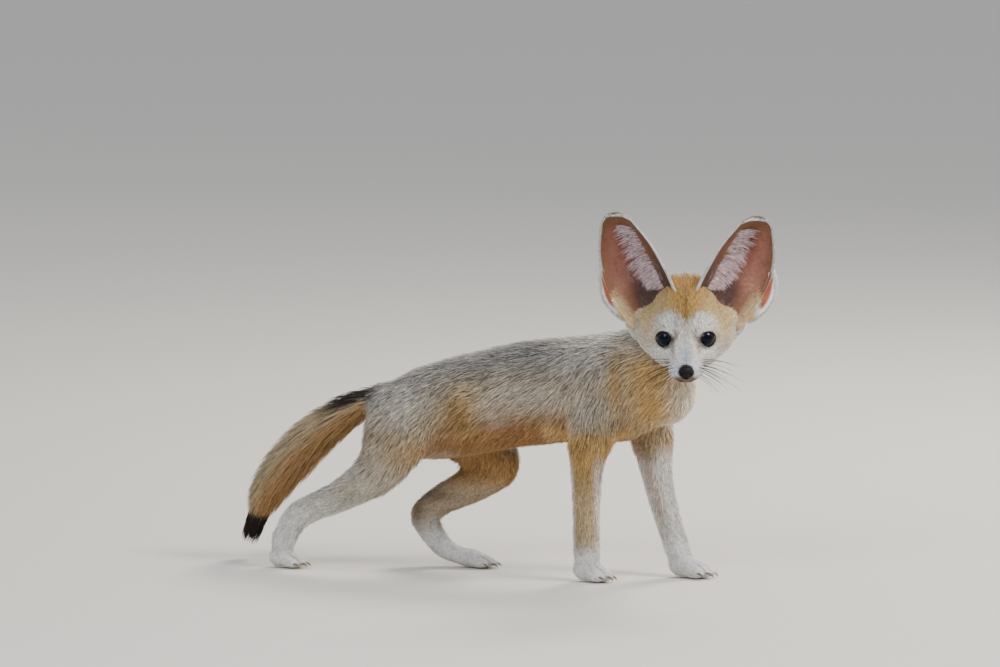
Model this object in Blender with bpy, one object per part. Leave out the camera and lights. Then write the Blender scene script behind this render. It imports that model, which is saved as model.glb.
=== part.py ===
"""A life-size fennec fox standing with its head turned to its right, as a still model.

The fox faces +X and +Z is up. Sizes are in millimetres and become metres in to_mesh.
Each flesh form is a tube or an ellipsoid set out from named stations; the forms are
fused into one skin, thinned, and parted with thin cuts into the animal's named parts.
"""

import math
import random

import bmesh
import bpy
import numpy as np
from mathutils import Matrix, Vector

MM = 0.001
BOX_FACES = ((0, 1, 3, 2), (4, 6, 7, 5), (0, 4, 5, 1), (2, 3, 7, 6), (0, 2, 6, 4), (1, 5, 7, 3))
GAP = 0.3  # air kept between neighbouring parts

# Stations of the trunk: x, y, z of the centre, half width, half height
TORSO = (
    (-80, 0, 138, 17, 18),
    (-66, 0, 131.5, 27, 32),
    (-40, 0, 129.5, 31, 39),
    (-8, 0, 136.5, 31, 41.5),
    (26, 0, 144.5, 29, 42.5),
    (60, 0, 151, 31, 44),
    (95, 0, 155.5, 34, 43.5),
    (125, 0, 157.8, 34, 46.2),
    (150, 0, 163, 31, 43.5),
    (171, 0, 160, 24, 32),
)
BREAST = ((169, 0, 157), (28.5, 25, 30))
NECK = (
    (134, 0, 164, 30, 37),
    (160, -1, 181, 27, 33),
    (180, -6, 198, 26, 29),
    (193, -17, 209, 27, 29),
    (201, -28, 212, 24, 25),
)
NECK_BASE = ((161, 0, 178), (0.74, -0.08, 0.67))  # cut between torso and neck

# Limb stations: x, y, z, half width across the body, half depth fore and aft
FORELEG_RIGHT = (
    (122, -20, 160, 13, 27),
    (119, -23, 138, 15, 24),
    (114, -25, 116, 14, 19),
    (111.5, -26, 98, 12, 15),
    (111, -26, 80, 10.5, 13),
    (111, -26, 58, 9.6, 12),
    (111, -26, 37, 9.6, 11.6),
    (111.5, -26, 20, 10.5, 11.6),
)
FORELEG_LEFT = (
    (142, 20, 158, 13, 27),
    (146, 23, 136, 15, 23),
    (150, 24.5, 114, 14, 18.5),
    (152.5, 25, 96, 12, 15),
    (155, 26, 78, 10.5, 13),
    (161, 26, 55, 9.6, 11.6),
    (167.5, 26, 35, 9.6, 11),
    (173, 26, 20, 10.5, 11),
)
HINDLEG_RIGHT = (
    (-45, -15, 139, 15, 30),
    (-51, -21, 124, 17, 32),
    (-60, -26, 102, 15.5, 27),
    (-68, -28, 86, 13, 21),
    (-86, -28, 72, 11.5, 16.5),
    (-106, -28, 60, 10, 13.5),
    (-126, -28, 51, 9, 12),
    (-141, -28, 43, 8.8, 12),
    (-149, -28, 32, 8.6, 11),
    (-156, -28, 18, 9, 10),
)
HINDLEG_LEFT = (
    (-36, 15, 139, 15, 30),
    (-18, 20, 123, 17, 32),
    (4, 24, 102, 15.5, 27),
    (16, 26, 87, 13, 19),
    (2, 26, 74, 12, 16.5),
    (-20, 26, 62, 10.5, 14.5),
    (-40, 26, 51, 9.5, 12.5),
    (-50, 26, 40, 9, 13),
    (-43, 26, 27, 8.6, 10.5),
    (-32, 26, 14, 9, 9),
    (-18, 26, 8.5, 9, 7),
)
# Where each paw stands, its heading from +X in degrees, its size and its height
PAWS = {
    "forepaw_right": ((111.5, -26), -4, 1.0, 1.0),
    "forepaw_left": ((178, 26), -6, 1.12, 0.88),
    "hindpaw_right": ((-155, -28), -2, 0.96, 0.85),
    "hindpaw_left": ((-10, 26), -2, 1.06, 0.72),
}
PAW_CUT = {  # plane that parts the paw from its leg: point and direction up the leg
    "forepaw_right": ((112.8, -26, 27), (0, 0, 1)),
    "forepaw_left": ((170, 26, 27), (-0.28, 0, 0.96)),
    "hindpaw_right": ((-152, -28, 25), (0.45, 0, 0.89)),
    "hindpaw_left": ((-42, 26, 21.5), (-0.5, 0, 0.87)),
}
LEG_CUTS = {  # planes that part each leg in lengths: point and direction up the leg
    "foreleg_right": (((114, -25, 112), (0, 0, 1)),),
    "foreleg_left": (((150.5, 24.5, 110), (-0.15, 0, 0.99)),),
    "hindleg_right": (((-76, -28, 80), (0.78, 0, 0.62)), ((-141, -28, 43), (0.72, 0, 0.69))),
    "hindleg_left": (((6, 26, 79), (0.3, 0, 0.95)), ((-48, 26, 41), (0.3, 0, 0.95))),
}
LEG_NAMES = {
    "foreleg_right": ("upper_foreleg_right", "forearm_right"),
    "foreleg_left": ("upper_foreleg_left", "forearm_left"),
    "hindleg_right": ("thigh_right", "shank_right", "metatarsus_right"),
    "hindleg_left": ("thigh_left", "shank_left", "metatarsus_left"),
}

# Head frame: origin in the middle of the braincase, x to the nose, y to the fox's left
HEAD_AT = (201.4, -38, 210.7)
HEAD_YAW, HEAD_PITCH = -70, 18
EYE_AT, EYE_RADIUS = (17.6, 15.2, 3.5), 8.8
EYE_WINDOW = (8.2, 8.2)  # the opening of the lids: a ball this far ahead, this big
EYE_YAW, EYE_PITCH = 19, 10
NOSE_AT, NOSE_RADII = (58.5, 0, -8.6), (5.6, 6.2, 5.2)

# The left ear in the head frame: near edge, far edge and how deep it is cupped behind
EAR = (
    (4, 9, 18, -1, 40, 2, 15),
    (0, 8.5, 33, -8, 50, 13, 20),
    (-3.5, 12.5, 43.5, -13, 58, 24, 21),
    (-8, 18.5, 54.5, -19, 65.5, 37.5, 21),
    (-15, 29.5, 72, -25, 70, 58, 17),
    (-21.5, 42, 86, -27, 68, 79, 10),
    (-25, 52, 93, -27, 63.5, 90, 4),
)
EAR_SHORTER = {-1: 1.0, 1: 0.95}  # height above the brow, right ear and left ear
# The lobe behind the far edge of the ear: x, y, z of its middle, half width, half thickness
EAR_LOBE = (
    (-7, 46, 10, 4, 2.4),
    (-11, 54.5, 15.5, 4.6, 2.0),
    (-15.5, 61.5, 23.5, 4.8, 1.7),
    (-19.5, 65.4, 33, 3.6, 1.5),
    (-22, 67, 40, 2.2, 1.4),
    (-23.5, 66.6, 45.5, 1.3, 1.2),
)
EAR_LOBE_ACROSS = (0, 0.87, -0.5)
EAR_LOBE_WIDER = {-1: 0.0, 1: 1.2}
EAR_STEPS, EAR_ACROSS = 2, 9
EAR_BACK = (-0.97, 0.1, 0.22)
EAR_THICK = (3.2, 1.5)  # at the root and at the rim

# Tail: x, y, z along its bone, radius of the brush out to the lock tips
TAIL = (
    (-66, 0, 144, 9),
    (-92, 1, 136.5, 13.5),
    (-126, 2, 115.5, 19),
    (-156, 5, 88, 21),
    (-178, 9, 63, 19),
    (-189, 13, 44, 14),
    (-194, 15, 32, 7),
)
TAIL_CORE_SHARE = 0.5  # of the brush's radius
TAIL_ROWS, TAIL_PER_ROW = 10, 6
LOCK_LENGTH, LOCK_WIDTH, LOCK_THICK = 48, 15.5, 4.6
TAIL_FIRST, TAIL_LAST, TAIL_SEED = 0.03, 0.84, 7
LOCK_RISE = (0.3, 0.62, 0.84, 0.97, 0.96)  # of the brush's radius, root to tip
LOCK_TAPER = (0.62, 1.0, 0.92, 0.6)  # of the lock's width, root to near its tip

# Where each leg leaves the trunk: top plane at x and z, its tilt, inner plane, reach
LEG_ROOTS = {
    "foreleg_right": ((114, 128), 0, -13, 40, 60),
    "foreleg_left": ((149, 126), 8, 13, 40, 90),
    "hindleg_right": ((-52, 128), 30, -8, 120, 60),
    "hindleg_left": ((-4, 112), 20, 8, 60, 70),
}
MUSCLES = (
    ((126, -25, 140), (21, 11, 30), (0, 12, 0)),
    ((142, 25, 142), (20, 11, 27), (0, -4, 0)),
    ((-50, -22, 121), (27, 13, 32), (0, 25, 0)),
    ((-22, 22, 119), (30, 13, 31), (0, -25, 0)),
    ((-58, -10, 124), (20, 17, 23), (0, 0, 0)),
    ((-55, 10, 124), (20, 17, 23), (0, 0, 0)),
)
TOES = (-7.4, -2.6, 2.6, 7.4)  # how far each toe stands beside the paw's middle line
BODY_VOXEL, BODY_EASE, BODY_TRIANGLES = 1.7, 16, 3500
SKULL_VOXEL, SKULL_EASE = 1.6, 44
HEAD_VOXEL, HEAD_EASE, HEAD_TRIANGLES = 1.0, 22, 1500

# The skull from nape to brow, then the muzzle from brow to nose, in the head frame:
# x, y, z, half width, half height
SKULL = (
    (-16, 0, 4, 30, 27),
    (-2, 0, 2, 29.5, 26),
    (10, 0, -1.5, 27, 23),
    (21, 0, -5, 21, 18),
    (30, 0, -7.5, 16, 14),
)
MUZZLE = (
    (14, 0, -5.5, 21, 16),
    (25, 0, -6.5, 18, 13.5),
    (36, 0, -8.2, 14.6, 11.4),
    (46, 0, -9.8, 12.4, 9.8),
    (54, 0, -10.8, 10, 8.6),
    (58, 0, -11, 8.6, 7.8),
)
# Forms of the skull and of the muzzle: centre, radii, turn; those off the middle are
# made on both sides
SKULL_FORMS = (
    ((-8, 0, 9), (35, 30, 31), (0, 0, 0)),
    ((-22, 0, 14), (22, 24, 31), (0, 0, 0)),
    ((-12, 0, 3), (23, 46, 21), (0, 0, 0)),
    ((-15, 35, 1), (14, 16, 16), (0, 0, 0)),
    ((-13, 9, 32), (12, 8.5, 12), (0, 0, 0)),
    ((-2, 22, -2), (24, 19, 18), (0, 0, 0)),
    ((8, 14, -12), (25, 15, 13), (0, 0, -14)),
)
MUZZLE_FORMS = (
    ((14, 13, 11), (14, 11, 7.5), (0, 20, 0)),
    ((46.5, 6.6, -12.2), (13, 8.2, 7), (0, 0, -8)),
    ((43, 0, -17.6), (13, 6.4, 5), (0, -4, 0)),
    ((24, 0, -15), (24, 12, 8), (0, -6, 0)),
)
MOUTH = ((59, 0, -15), (55, 6, -16), (48, 10, -16), (40, 12, -14.5), (33, 14, -11.5))
MOUTH_RADIUS = 0.8

COLOURS = {
    "buff": (0.60, 0.47, 0.31),
    "gold": (0.58, 0.40, 0.20),
    "white": (0.80, 0.76, 0.70),
    "ear": (0.52, 0.33, 0.26),
    "black": (0.02, 0.018, 0.016),
    "tail": (0.50, 0.34, 0.18),
}


def clear_scene():
    for old in list(bpy.data.objects):
        bpy.data.objects.remove(old, do_unlink=True)


def material(name, roughness=0.9):
    made = bpy.data.materials.get(name)
    if made is None:
        made = bpy.data.materials.new(name)
        made.use_nodes = True
        shader = made.node_tree.nodes["Principled BSDF"]
        shader.inputs["Base Color"].default_value = (*COLOURS[name], 1)
        shader.inputs["Roughness"].default_value = roughness
        shader.inputs["Metallic"].default_value = 0
        made.diffuse_color = (*COLOURS[name], 1)
    return made


def to_mesh(name, points, faces):
    """A mesh object from points in millimetres and faces that face out."""
    mesh = bpy.data.meshes.new(name)
    mesh.from_pydata([Vector(p) * MM for p in points], [], faces)
    made = bpy.data.objects.new(name, mesh)
    bpy.context.scene.collection.objects.link(made)
    return made


def through(rows, steps):
    """Rows on one smooth curve through the given rows, steps to each span."""
    rows = np.array(rows, float)
    lengths = np.linalg.norm(np.diff(rows[:, :3], axis=0), axis=1)
    at = np.concatenate([[0], np.cumsum(lengths)])
    slopes = np.gradient(rows, at, axis=0)
    made = []
    for i, length in enumerate(lengths):
        for t in np.arange(steps) / steps:
            a, b = 1 - t, t
            made.append(
                rows[i] * (1 + 2 * t) * a * a
                + rows[i + 1] * (3 - 2 * t) * b * b
                + slopes[i] * length * t * a * a
                - slopes[i + 1] * length * b * b * a
            )
    made.append(rows[-1])
    return np.array(made)


def tube(name, stations, side=(0, 1, 0), steps=4, sides=24):
    """A closed tube with rounded ends along stations of x, y, z, half width, half depth."""
    rows = through(stations, steps)
    centres = rows[:, :3]
    tangents = np.gradient(centres, axis=0)
    tangents /= np.linalg.norm(tangents, axis=1)[:, None]
    rings = []
    cap = 4

    def ring(centre, tangent, across, deep):
        lateral = np.array(side, float)
        lateral -= tangent * (lateral @ tangent)
        lateral /= np.linalg.norm(lateral)
        other = np.cross(tangent, lateral)
        for k in range(sides):
            turn = 2 * math.pi * k / sides
            yield centre + lateral * across * math.cos(turn) + other * deep * math.sin(turn)

    def rounded(row, tangent, way):
        reach = 0.6 * min(row[3], row[4])
        made = []
        for k in range(1, cap + 1):
            turn = math.pi / 2 * k / (cap + 0.35)
            centre = row[:3] + way * tangent * reach * math.sin(turn)
            made.append(list(ring(centre, tangent, row[3] * math.cos(turn), row[4] * math.cos(turn))))
        return made

    rings += rounded(rows[0], tangents[0], -1)[::-1]
    rings += [list(ring(c, t, r[3], r[4])) for c, t, r in zip(centres, tangents, rows)]
    rings += rounded(rows[-1], tangents[-1], 1)
    points = [p for one in rings for p in one]
    faces = []
    for i in range(len(rings) - 1):
        for k in range(sides):
            a, b = i * sides + k, i * sides + (k + 1) % sides
            faces.append((a, b, b + sides, a + sides))
    faces.append(tuple(range(sides))[::-1])
    last = (len(rings) - 1) * sides
    faces.append(tuple(range(last, last + sides)))
    return to_mesh(name, points, faces)


def turned(turn):
    """A rotation by Euler degrees about x, then y, then z."""
    about_x = Matrix.Rotation(math.radians(turn[0]), 4, "X")
    about_y = Matrix.Rotation(math.radians(turn[1]), 4, "Y")
    return Matrix.Rotation(math.radians(turn[2]), 4, "Z") @ about_y @ about_x


def ellipsoid(name, centre, radii, turn=(0, 0, 0), rings=16):
    """An ellipsoid turned by Euler degrees about its centre."""
    form = bmesh.new()
    bmesh.ops.create_uvsphere(form, u_segments=2 * rings, v_segments=rings, radius=1)
    spin = Matrix.Translation(centre) @ turned(turn) @ Matrix.Diagonal((*radii, 1))
    points = [spin @ v.co for v in form.verts]
    form.verts.index_update()
    faces = [tuple(v.index for v in f.verts) for f in form.faces]
    form.free()
    return to_mesh(name, points, faces)


def settle(made):
    """Turns what the modifiers make into the object's own mesh."""
    graph = bpy.context.evaluated_depsgraph_get()
    mesh = bpy.data.meshes.new_from_object(made.evaluated_get(graph))
    made.modifiers.clear()
    old = made.data
    made.data = mesh
    bpy.data.meshes.remove(old)
    return made


def fuse(name, pieces, voxel, smoothing):
    """One closed skin over overlapping closed pieces, with its creases eased."""
    joined = bmesh.new()
    for piece in pieces:
        joined.from_mesh(piece.data)
        bpy.data.objects.remove(piece, do_unlink=True)
    mesh = bpy.data.meshes.new(name)
    joined.to_mesh(mesh)
    joined.free()
    made = bpy.data.objects.new(name, mesh)
    bpy.context.scene.collection.objects.link(made)
    remesh = made.modifiers.new("remesh", "REMESH")
    remesh.mode = "VOXEL"
    remesh.voxel_size = voxel * MM
    ease = made.modifiers.new("ease", "SMOOTH")
    ease.factor = 0.5
    ease.iterations = smoothing
    return settle(made)


def thin_out(made, triangles):
    """Collapses edges until the mesh has about this many triangles."""
    count = sum(len(p.vertices) - 2 for p in made.data.polygons)
    thin = made.modifiers.new("thin", "DECIMATE")
    thin.ratio = min(1, triangles / count)
    thin.use_collapse_triangulate = True
    return settle(made)


def combine(made, other, operation, solver="EXACT", keep_other=False):
    """A Boolean between two closed meshes."""
    cut = made.modifiers.new("cut", "BOOLEAN")
    cut.operation = operation
    cut.solver = solver
    cut.object = other
    settle(made)
    if not keep_other:
        bpy.data.objects.remove(other, do_unlink=True)
    return made


def copy_of(made, name):
    twin = made.copy()
    twin.data = made.data.copy()
    twin.name = name
    bpy.context.scene.collection.objects.link(twin)
    return twin


def grown(made, by, name):
    """A copy of a closed mesh, its surface moved out along its normals."""
    twin = copy_of(made, name)
    for v, normal in [(v, v.normal.copy()) for v in twin.data.vertices]:
        v.co += normal * by * MM
    return twin


def clip(made, point, normal, gap=GAP / 2):
    """Keeps what lies on the normal's side of a plane, less a gap."""
    normal = Vector(normal).normalized()
    half = 400
    corners = [(x, y, z) for x in (-half, half) for y in (-half, half) for z in (-2 * half, gap)]
    slab = to_mesh("slab", corners, BOX_FACES)
    turn = Vector((0, 0, 1)).rotation_difference(normal).to_matrix().to_4x4()
    moved(slab, Matrix.Translation(point) @ turn)
    return combine(made, slab, "DIFFERENCE")


def largest(made):
    """Keeps a mesh's largest closed surface and drops loose scraps."""
    form = bmesh.new()
    form.from_mesh(made.data)
    left, islands = set(form.verts), []
    while left:
        first = left.pop()
        island, edge = {first}, [first]
        while edge:
            for e in edge.pop().link_edges:
                for v in e.verts:
                    if v in left:
                        left.discard(v)
                        island.add(v)
                        edge.append(v)
        islands.append(island)
    islands.sort(key=len)
    for island in islands[:-1]:
        bmesh.ops.delete(form, geom=list(island), context="VERTS")
    form.to_mesh(made.data)
    form.free()
    return made


def finish(made, name, colour, roughness=0.9):
    made.name = name
    made.data.name = name
    made.data.materials.clear()
    made.data.materials.append(material(colour, roughness))
    for polygon in made.data.polygons:
        polygon.material_index = 0
    made.data.shade_smooth()
    made.data.set_sharp_from_angle(angle=math.radians(50))
    return made


def head_place():
    """The head frame in the fox's frame, in millimetres."""
    return Matrix.Translation(HEAD_AT) @ turned((0, HEAD_PITCH, HEAD_YAW))


def moved(made, place):
    """Places a mesh that was made in another frame; place is in millimetres."""
    scaled = place.copy()
    scaled.translation = scaled.translation * MM
    made.data.transform(scaled)
    return made


def paw_place(name):
    """The paw's own frame, its x to the toes, in the fox's frame."""
    at, heading, size, height = PAWS[name]
    stretch = Matrix.Diagonal((size, size, size * height, 1))
    return Matrix.Translation((*at, 0)) @ turned((0, 0, heading)) @ stretch


def toe_reach(across):
    """How far ahead of the paw's middle a toe stands."""
    return 14.5 if abs(across) < 4 else 10.5


def paw(name):
    """A paw's pieces: its pad of fur, the step before it and four toes."""
    pieces = [
        ellipsoid("pad", (0, 0, 9.5), (13.5, 10, 10.5), rings=12),
        ellipsoid("step", (9, 0, 6.8), (12, 9.6, 8), rings=12),
    ]
    for across in TOES:
        centre = (toe_reach(across), across, 4.7)
        pieces.append(ellipsoid("toe", centre, (8.2, 3.5, 5.4), (0, 8, 3.2 * across), 8))
    for piece in pieces:
        moved(piece, paw_place(name))
    return pieces


def claws(name):
    """The claws of a paw: small bent cones that start inside the toes."""
    made = []
    for across in TOES:
        out = Vector((1, across * 0.045, 0)).normalized()
        root = Vector((toe_reach(across), across, 5.2)) + out * 4.5
        middle = root + out * 5.2 + Vector((0, 0, -1.2))
        tip = root + out * 8.0 + Vector((0, 0, -3.8))
        claw = cone("claw", (root, middle, tip), (1.3, 1.0, 0.3), 5)
        made.append(moved(claw, paw_place(name)))
    return made


def cone(name, line, radii, sides):
    """A closed spike along a line of points."""
    line = [Vector(p) for p in line]
    points, faces = [], []
    for i, centre in enumerate(line):
        ahead = (line[min(i + 1, len(line) - 1)] - line[max(i - 1, 0)]).normalized()
        lateral = ahead.cross(Vector((0, 0, 1))).normalized()
        other = ahead.cross(lateral)
        for k in range(sides):
            turn = 2 * math.pi * k / sides
            points.append(centre + (lateral * math.cos(turn) + other * math.sin(turn)) * radii[i])
    for i in range(len(line) - 1):
        for k in range(sides):
            a, b = i * sides + k, i * sides + (k + 1) % sides
            faces.append((a, b, b + sides, a + sides))
    faces.append(tuple(range(sides))[::-1])
    last = (len(line) - 1) * sides
    faces.append(tuple(range(last, last + sides)))
    return to_mesh(name, points, faces)


def body_skin():
    """Trunk, neck and legs as one skin."""
    pieces = [
        tube("torso", TORSO),
        ellipsoid("breast", BREAST[0], BREAST[1]),
        tube("neck", NECK),
    ]
    for legs in (FORELEG_RIGHT, FORELEG_LEFT, HINDLEG_RIGHT, HINDLEG_LEFT):
        pieces.append(tube("leg", legs))
    for muscle in MUSCLES:
        pieces.append(ellipsoid("muscle", *muscle))
    for name in PAWS:
        pieces += paw(name)
    made = fuse("skin", pieces, BODY_VOXEL, BODY_EASE)
    return thin_out(made, BODY_TRIANGLES)


def both_sides(forms):
    """Ellipsoids on the middle plane, and twice those beside it."""
    made = []
    for centre, radii, turn in forms:
        made.append(ellipsoid("form", centre, radii, turn))
        if centre[1]:
            across = (centre[0], -centre[1], centre[2])
            made.append(ellipsoid("form", across, radii, (-turn[0], turn[1], -turn[2])))
    return made


def head_skin():
    """The head without its nose pad, in the head frame: a well eased skull, then the muzzle."""
    skull = fuse("skull", [tube("skull", SKULL), *both_sides(SKULL_FORMS)], SKULL_VOXEL, SKULL_EASE)
    pieces = [skull, tube("muzzle", MUZZLE), *both_sides(MUZZLE_FORMS)]
    made = fuse("head", pieces, HEAD_VOXEL, HEAD_EASE)
    return thin_out(made, HEAD_TRIANGLES)


def eyeball(side):
    x, y, z = EYE_AT
    look = (0, 90 - EYE_PITCH, EYE_YAW * side)
    return ellipsoid("eye", (x, y * side, z), (EYE_RADIUS,) * 3, look, 6)


def lid_window(side):
    """The ball that opens the lids in front of an eye."""
    ahead, radius = EYE_WINDOW
    look = turned((0, -EYE_PITCH, EYE_YAW * side)) @ Vector((1, 0, 0))
    centre = Vector((EYE_AT[0], EYE_AT[1] * side, EYE_AT[2])) + look * ahead
    return ellipsoid("window", centre, (radius,) * 3, (0, 90 - EYE_PITCH, EYE_YAW * side), 6)


def mouth_groove(head):
    """A slim round cutter that follows the line of the mouth over the skin."""
    half = through([(*p, 0) for p in MOUTH], 3)[:, :3]
    path = np.concatenate([half[:0:-1] * (1, -1, 1), half])
    line = []
    for point in path:
        found, place, normal, index = head.closest_point_on_mesh(Vector(point) * MM)
        line.append(tuple(place / MM))
    turns = [math.pi * (k + 0.7) / (len(line) + 0.4) for k in range(len(line))]
    return cone("mouth", line, [MOUTH_RADIUS * math.sin(turn) ** 0.3 for turn in turns], 6)


def pad_form():
    return ellipsoid("nose", NOSE_AT, NOSE_RADII, (0, 12, 0), 8)


def nose_pad():
    """The nose pad with its two nostrils."""
    x, y, z = NOSE_AT
    made = pad_form()
    for side in (-1, 1):
        centre = (x + 4.6, y + 3.0 * side, z + 0.2)
        nostril = ellipsoid("nostril", centre, (2.2, 1.1, 1.5), (0, 0, 28 * side), 4)
        combine(made, nostril, "DIFFERENCE")
    return made


def fitted(points, side):
    """Points of the left ear moved to the ear of a side, at its own height."""
    points = np.array(points, float)
    points[:, 1] *= side
    above = points[:, 2] > 20
    points[above, 2] = 20 + (points[above, 2] - 20) * EAR_SHORTER[side]
    return points


def ear(side):
    """A cupped shell between its two edges, the root sunk in the head."""
    rows = through(EAR, EAR_STEPS)
    back = Vector(EAR_BACK).normalized()
    inner = []
    for row in rows:
        near, far = Vector(row[0:3]), Vector(row[3:6])
        across = [k / (EAR_ACROSS - 1) for k in range(EAR_ACROSS)]
        inner.append([near.lerp(far, v) + back * row[6] * math.sin(math.pi * v) ** 0.85 for v in across])
    last = inner[-1]
    tip = [p.lerp((last[0] + last[-1]) / 2, 0.62) + Vector((-0.2, 0.4, 1.4)) for p in last]
    inner.append(tip)
    grid = np.array([[list(p) for p in line] for line in inner])
    along = np.gradient(grid, axis=0)
    over = np.gradient(grid, axis=1)
    normal = np.cross(along, over)
    normal /= np.linalg.norm(normal, axis=2)[:, :, None]
    count = len(inner)
    thick = np.linspace(EAR_THICK[0], EAR_THICK[1], count)[:, None, None]
    outer = grid + normal * thick
    points = np.concatenate([grid.reshape(-1, 3), outer.reshape(-1, 3)])
    points = fitted(points, side)
    wide = EAR_ACROSS
    total = count * wide
    faces = []
    for i in range(count - 1):
        for k in range(wide - 1):
            a = i * wide + k
            faces.append((a, a + 1, a + wide + 1, a + wide))
            faces.append((total + a, total + a + wide, total + a + wide + 1, total + a + 1))
    for i in range(count - 1):
        a, b = i * wide, i * wide + wide - 1
        faces.append((a, a + wide, total + a + wide, total + a))
        faces.append((b, total + b, total + b + wide, b + wide))
    for k in range(wide - 1):
        a, b = k, (count - 1) * wide + k
        faces.append((a, total + a, total + a + 1, a + 1))
        faces.append((b, b + 1, total + b + 1, total + b))
    made = to_mesh("ear", points.tolist(), faces)
    form = bmesh.new()
    form.from_mesh(made.data)
    bmesh.ops.recalc_face_normals(form, faces=form.faces[:])
    bmesh.ops.triangulate(form, faces=form.faces[:])
    form.to_mesh(made.data)
    form.free()
    return combine(made, lobe(side), "UNION")


def lobe(side):
    """The flat lobe that stands out from behind the ear's far edge."""
    rows = np.array(EAR_LOBE, float)
    wider = EAR_LOBE_WIDER[side] * np.sin(np.linspace(0.5, 2.9, len(rows)))
    rows[:, :3] += np.array(EAR_LOBE_ACROSS) * wider[:, None]
    rows[:, 3] += wider
    rows[:, :3] = fitted(rows[:, :3], side)
    across = np.array(EAR_LOBE_ACROSS) * (1, side, 1)
    return tube("lobe", rows, across, 2, 8)


def block(root, grow):
    """The half of space below a tilted plane and outside an upright one, as a box."""
    at, tilt, inner, back, front = root
    side = 1 if inner > 0 else -1
    low, high = sorted((inner - side * grow, side * 90))
    points = []
    for x in (-back - grow, front + grow):
        for y in (low, high):
            for z in (-200, grow):
                points.append((x, y, z))
    made = to_mesh("block", points, BOX_FACES)
    place = Matrix.Translation((at[0], 0, at[1])) @ turned((0, tilt, 0))
    return moved(made, place)


def lock(line, lateral, wide, thick):
    """A flat lock, four-sided across, widest before its middle and drawn to a point."""
    line = [Vector(p) for p in line]
    points, faces = [], []
    last = len(line) - 1
    for i, centre in enumerate(line[:-1]):
        ahead = (line[i + 1] - line[max(i - 1, 0)]).normalized()
        over = ahead.cross(lateral).normalized()
        across = over.cross(ahead)
        share = LOCK_TAPER[i] / 2
        for way in (across * wide, over * thick, -across * wide, -over * thick):
            points.append(centre + way * share)
    points.append(line[-1])
    for i in range(last - 1):
        for k in range(4):
            a, b = i * 4 + k, i * 4 + (k + 1) % 4
            faces.append((a, b, b + 4, a + 4))
    faces.append((3, 2, 1, 0))
    for k in range(4):
        faces.append(((last - 1) * 4 + k, (last - 1) * 4 + (k + 1) % 4, last * 4))
    return to_mesh("lock", points, faces)


def tail_form():
    """The tail: a core and, all round it, locks that lie back along it."""
    rows = through(TAIL, 6)
    at = np.concatenate([[0], np.cumsum(np.linalg.norm(np.diff(rows[:, :3], axis=0), axis=1))])
    slopes = np.gradient(rows[:, :3], at, axis=0)
    length = at[-1]
    draw = random.Random(TAIL_SEED)

    def along(reach):
        inside = min(reach, length)
        centre = np.array([np.interp(inside, at, rows[:, k]) for k in range(3)])
        slope = np.array([np.interp(inside, at, slopes[:, k]) for k in range(3)])
        slope = Vector(slope).normalized()
        radius = float(np.interp(inside, at, rows[:, 3]))
        return Vector(centre) + slope * (reach - inside), slope, radius

    core = [(x, y, z, r * TAIL_CORE_SHARE, r * TAIL_CORE_SHARE) for x, y, z, r in TAIL]
    pieces = [tube("core", core, steps=2, sides=10)]
    for row in range(TAIL_ROWS):
        for k in range(TAIL_PER_ROW):
            start = length * (TAIL_FIRST + (TAIL_LAST - TAIL_FIRST) * row / (TAIL_ROWS - 1))
            start += draw.uniform(-4, 4)
            turn = 2 * math.pi * (k + row % 2 / 2 + draw.uniform(-0.2, 0.2)) / TAIL_PER_ROW
            size = draw.uniform(0.88, 1.08)
            sway = draw.uniform(-0.25, 0.25)
            line = []
            for step, rise in enumerate(LOCK_RISE):
                share = step / (len(LOCK_RISE) - 1)
                centre, slope, radius = along(start + LOCK_LENGTH * size * share)
                lateral = Vector((0, 1, 0))
                lateral = (lateral - slope * lateral.dot(slope)).normalized()
                other = slope.cross(lateral)
                angle = turn + sway * share
                out = lateral * math.cos(angle) + other * math.sin(angle)
                line.append(centre + out * radius * rise)
                round_it = slope.cross(out)
            wide = LOCK_WIDTH * size * (0.55 + 0.45 * along(start)[2] / 20)
            pieces.append(lock(line, round_it, wide, LOCK_THICK))
    group = bpy.data.collections.new("locks")
    bpy.context.scene.collection.children.link(group)
    for piece in pieces[1:]:
        group.objects.link(piece)
    made = pieces[0]
    cut = made.modifiers.new("join", "BOOLEAN")
    cut.operation = "UNION"
    cut.operand_type = "COLLECTION"
    cut.collection = group
    cut.solver = "EXACT"
    settle(made)
    for piece in pieces[1:]:
        bpy.data.objects.remove(piece, do_unlink=True)
    bpy.data.collections.remove(group)
    return made


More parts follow.
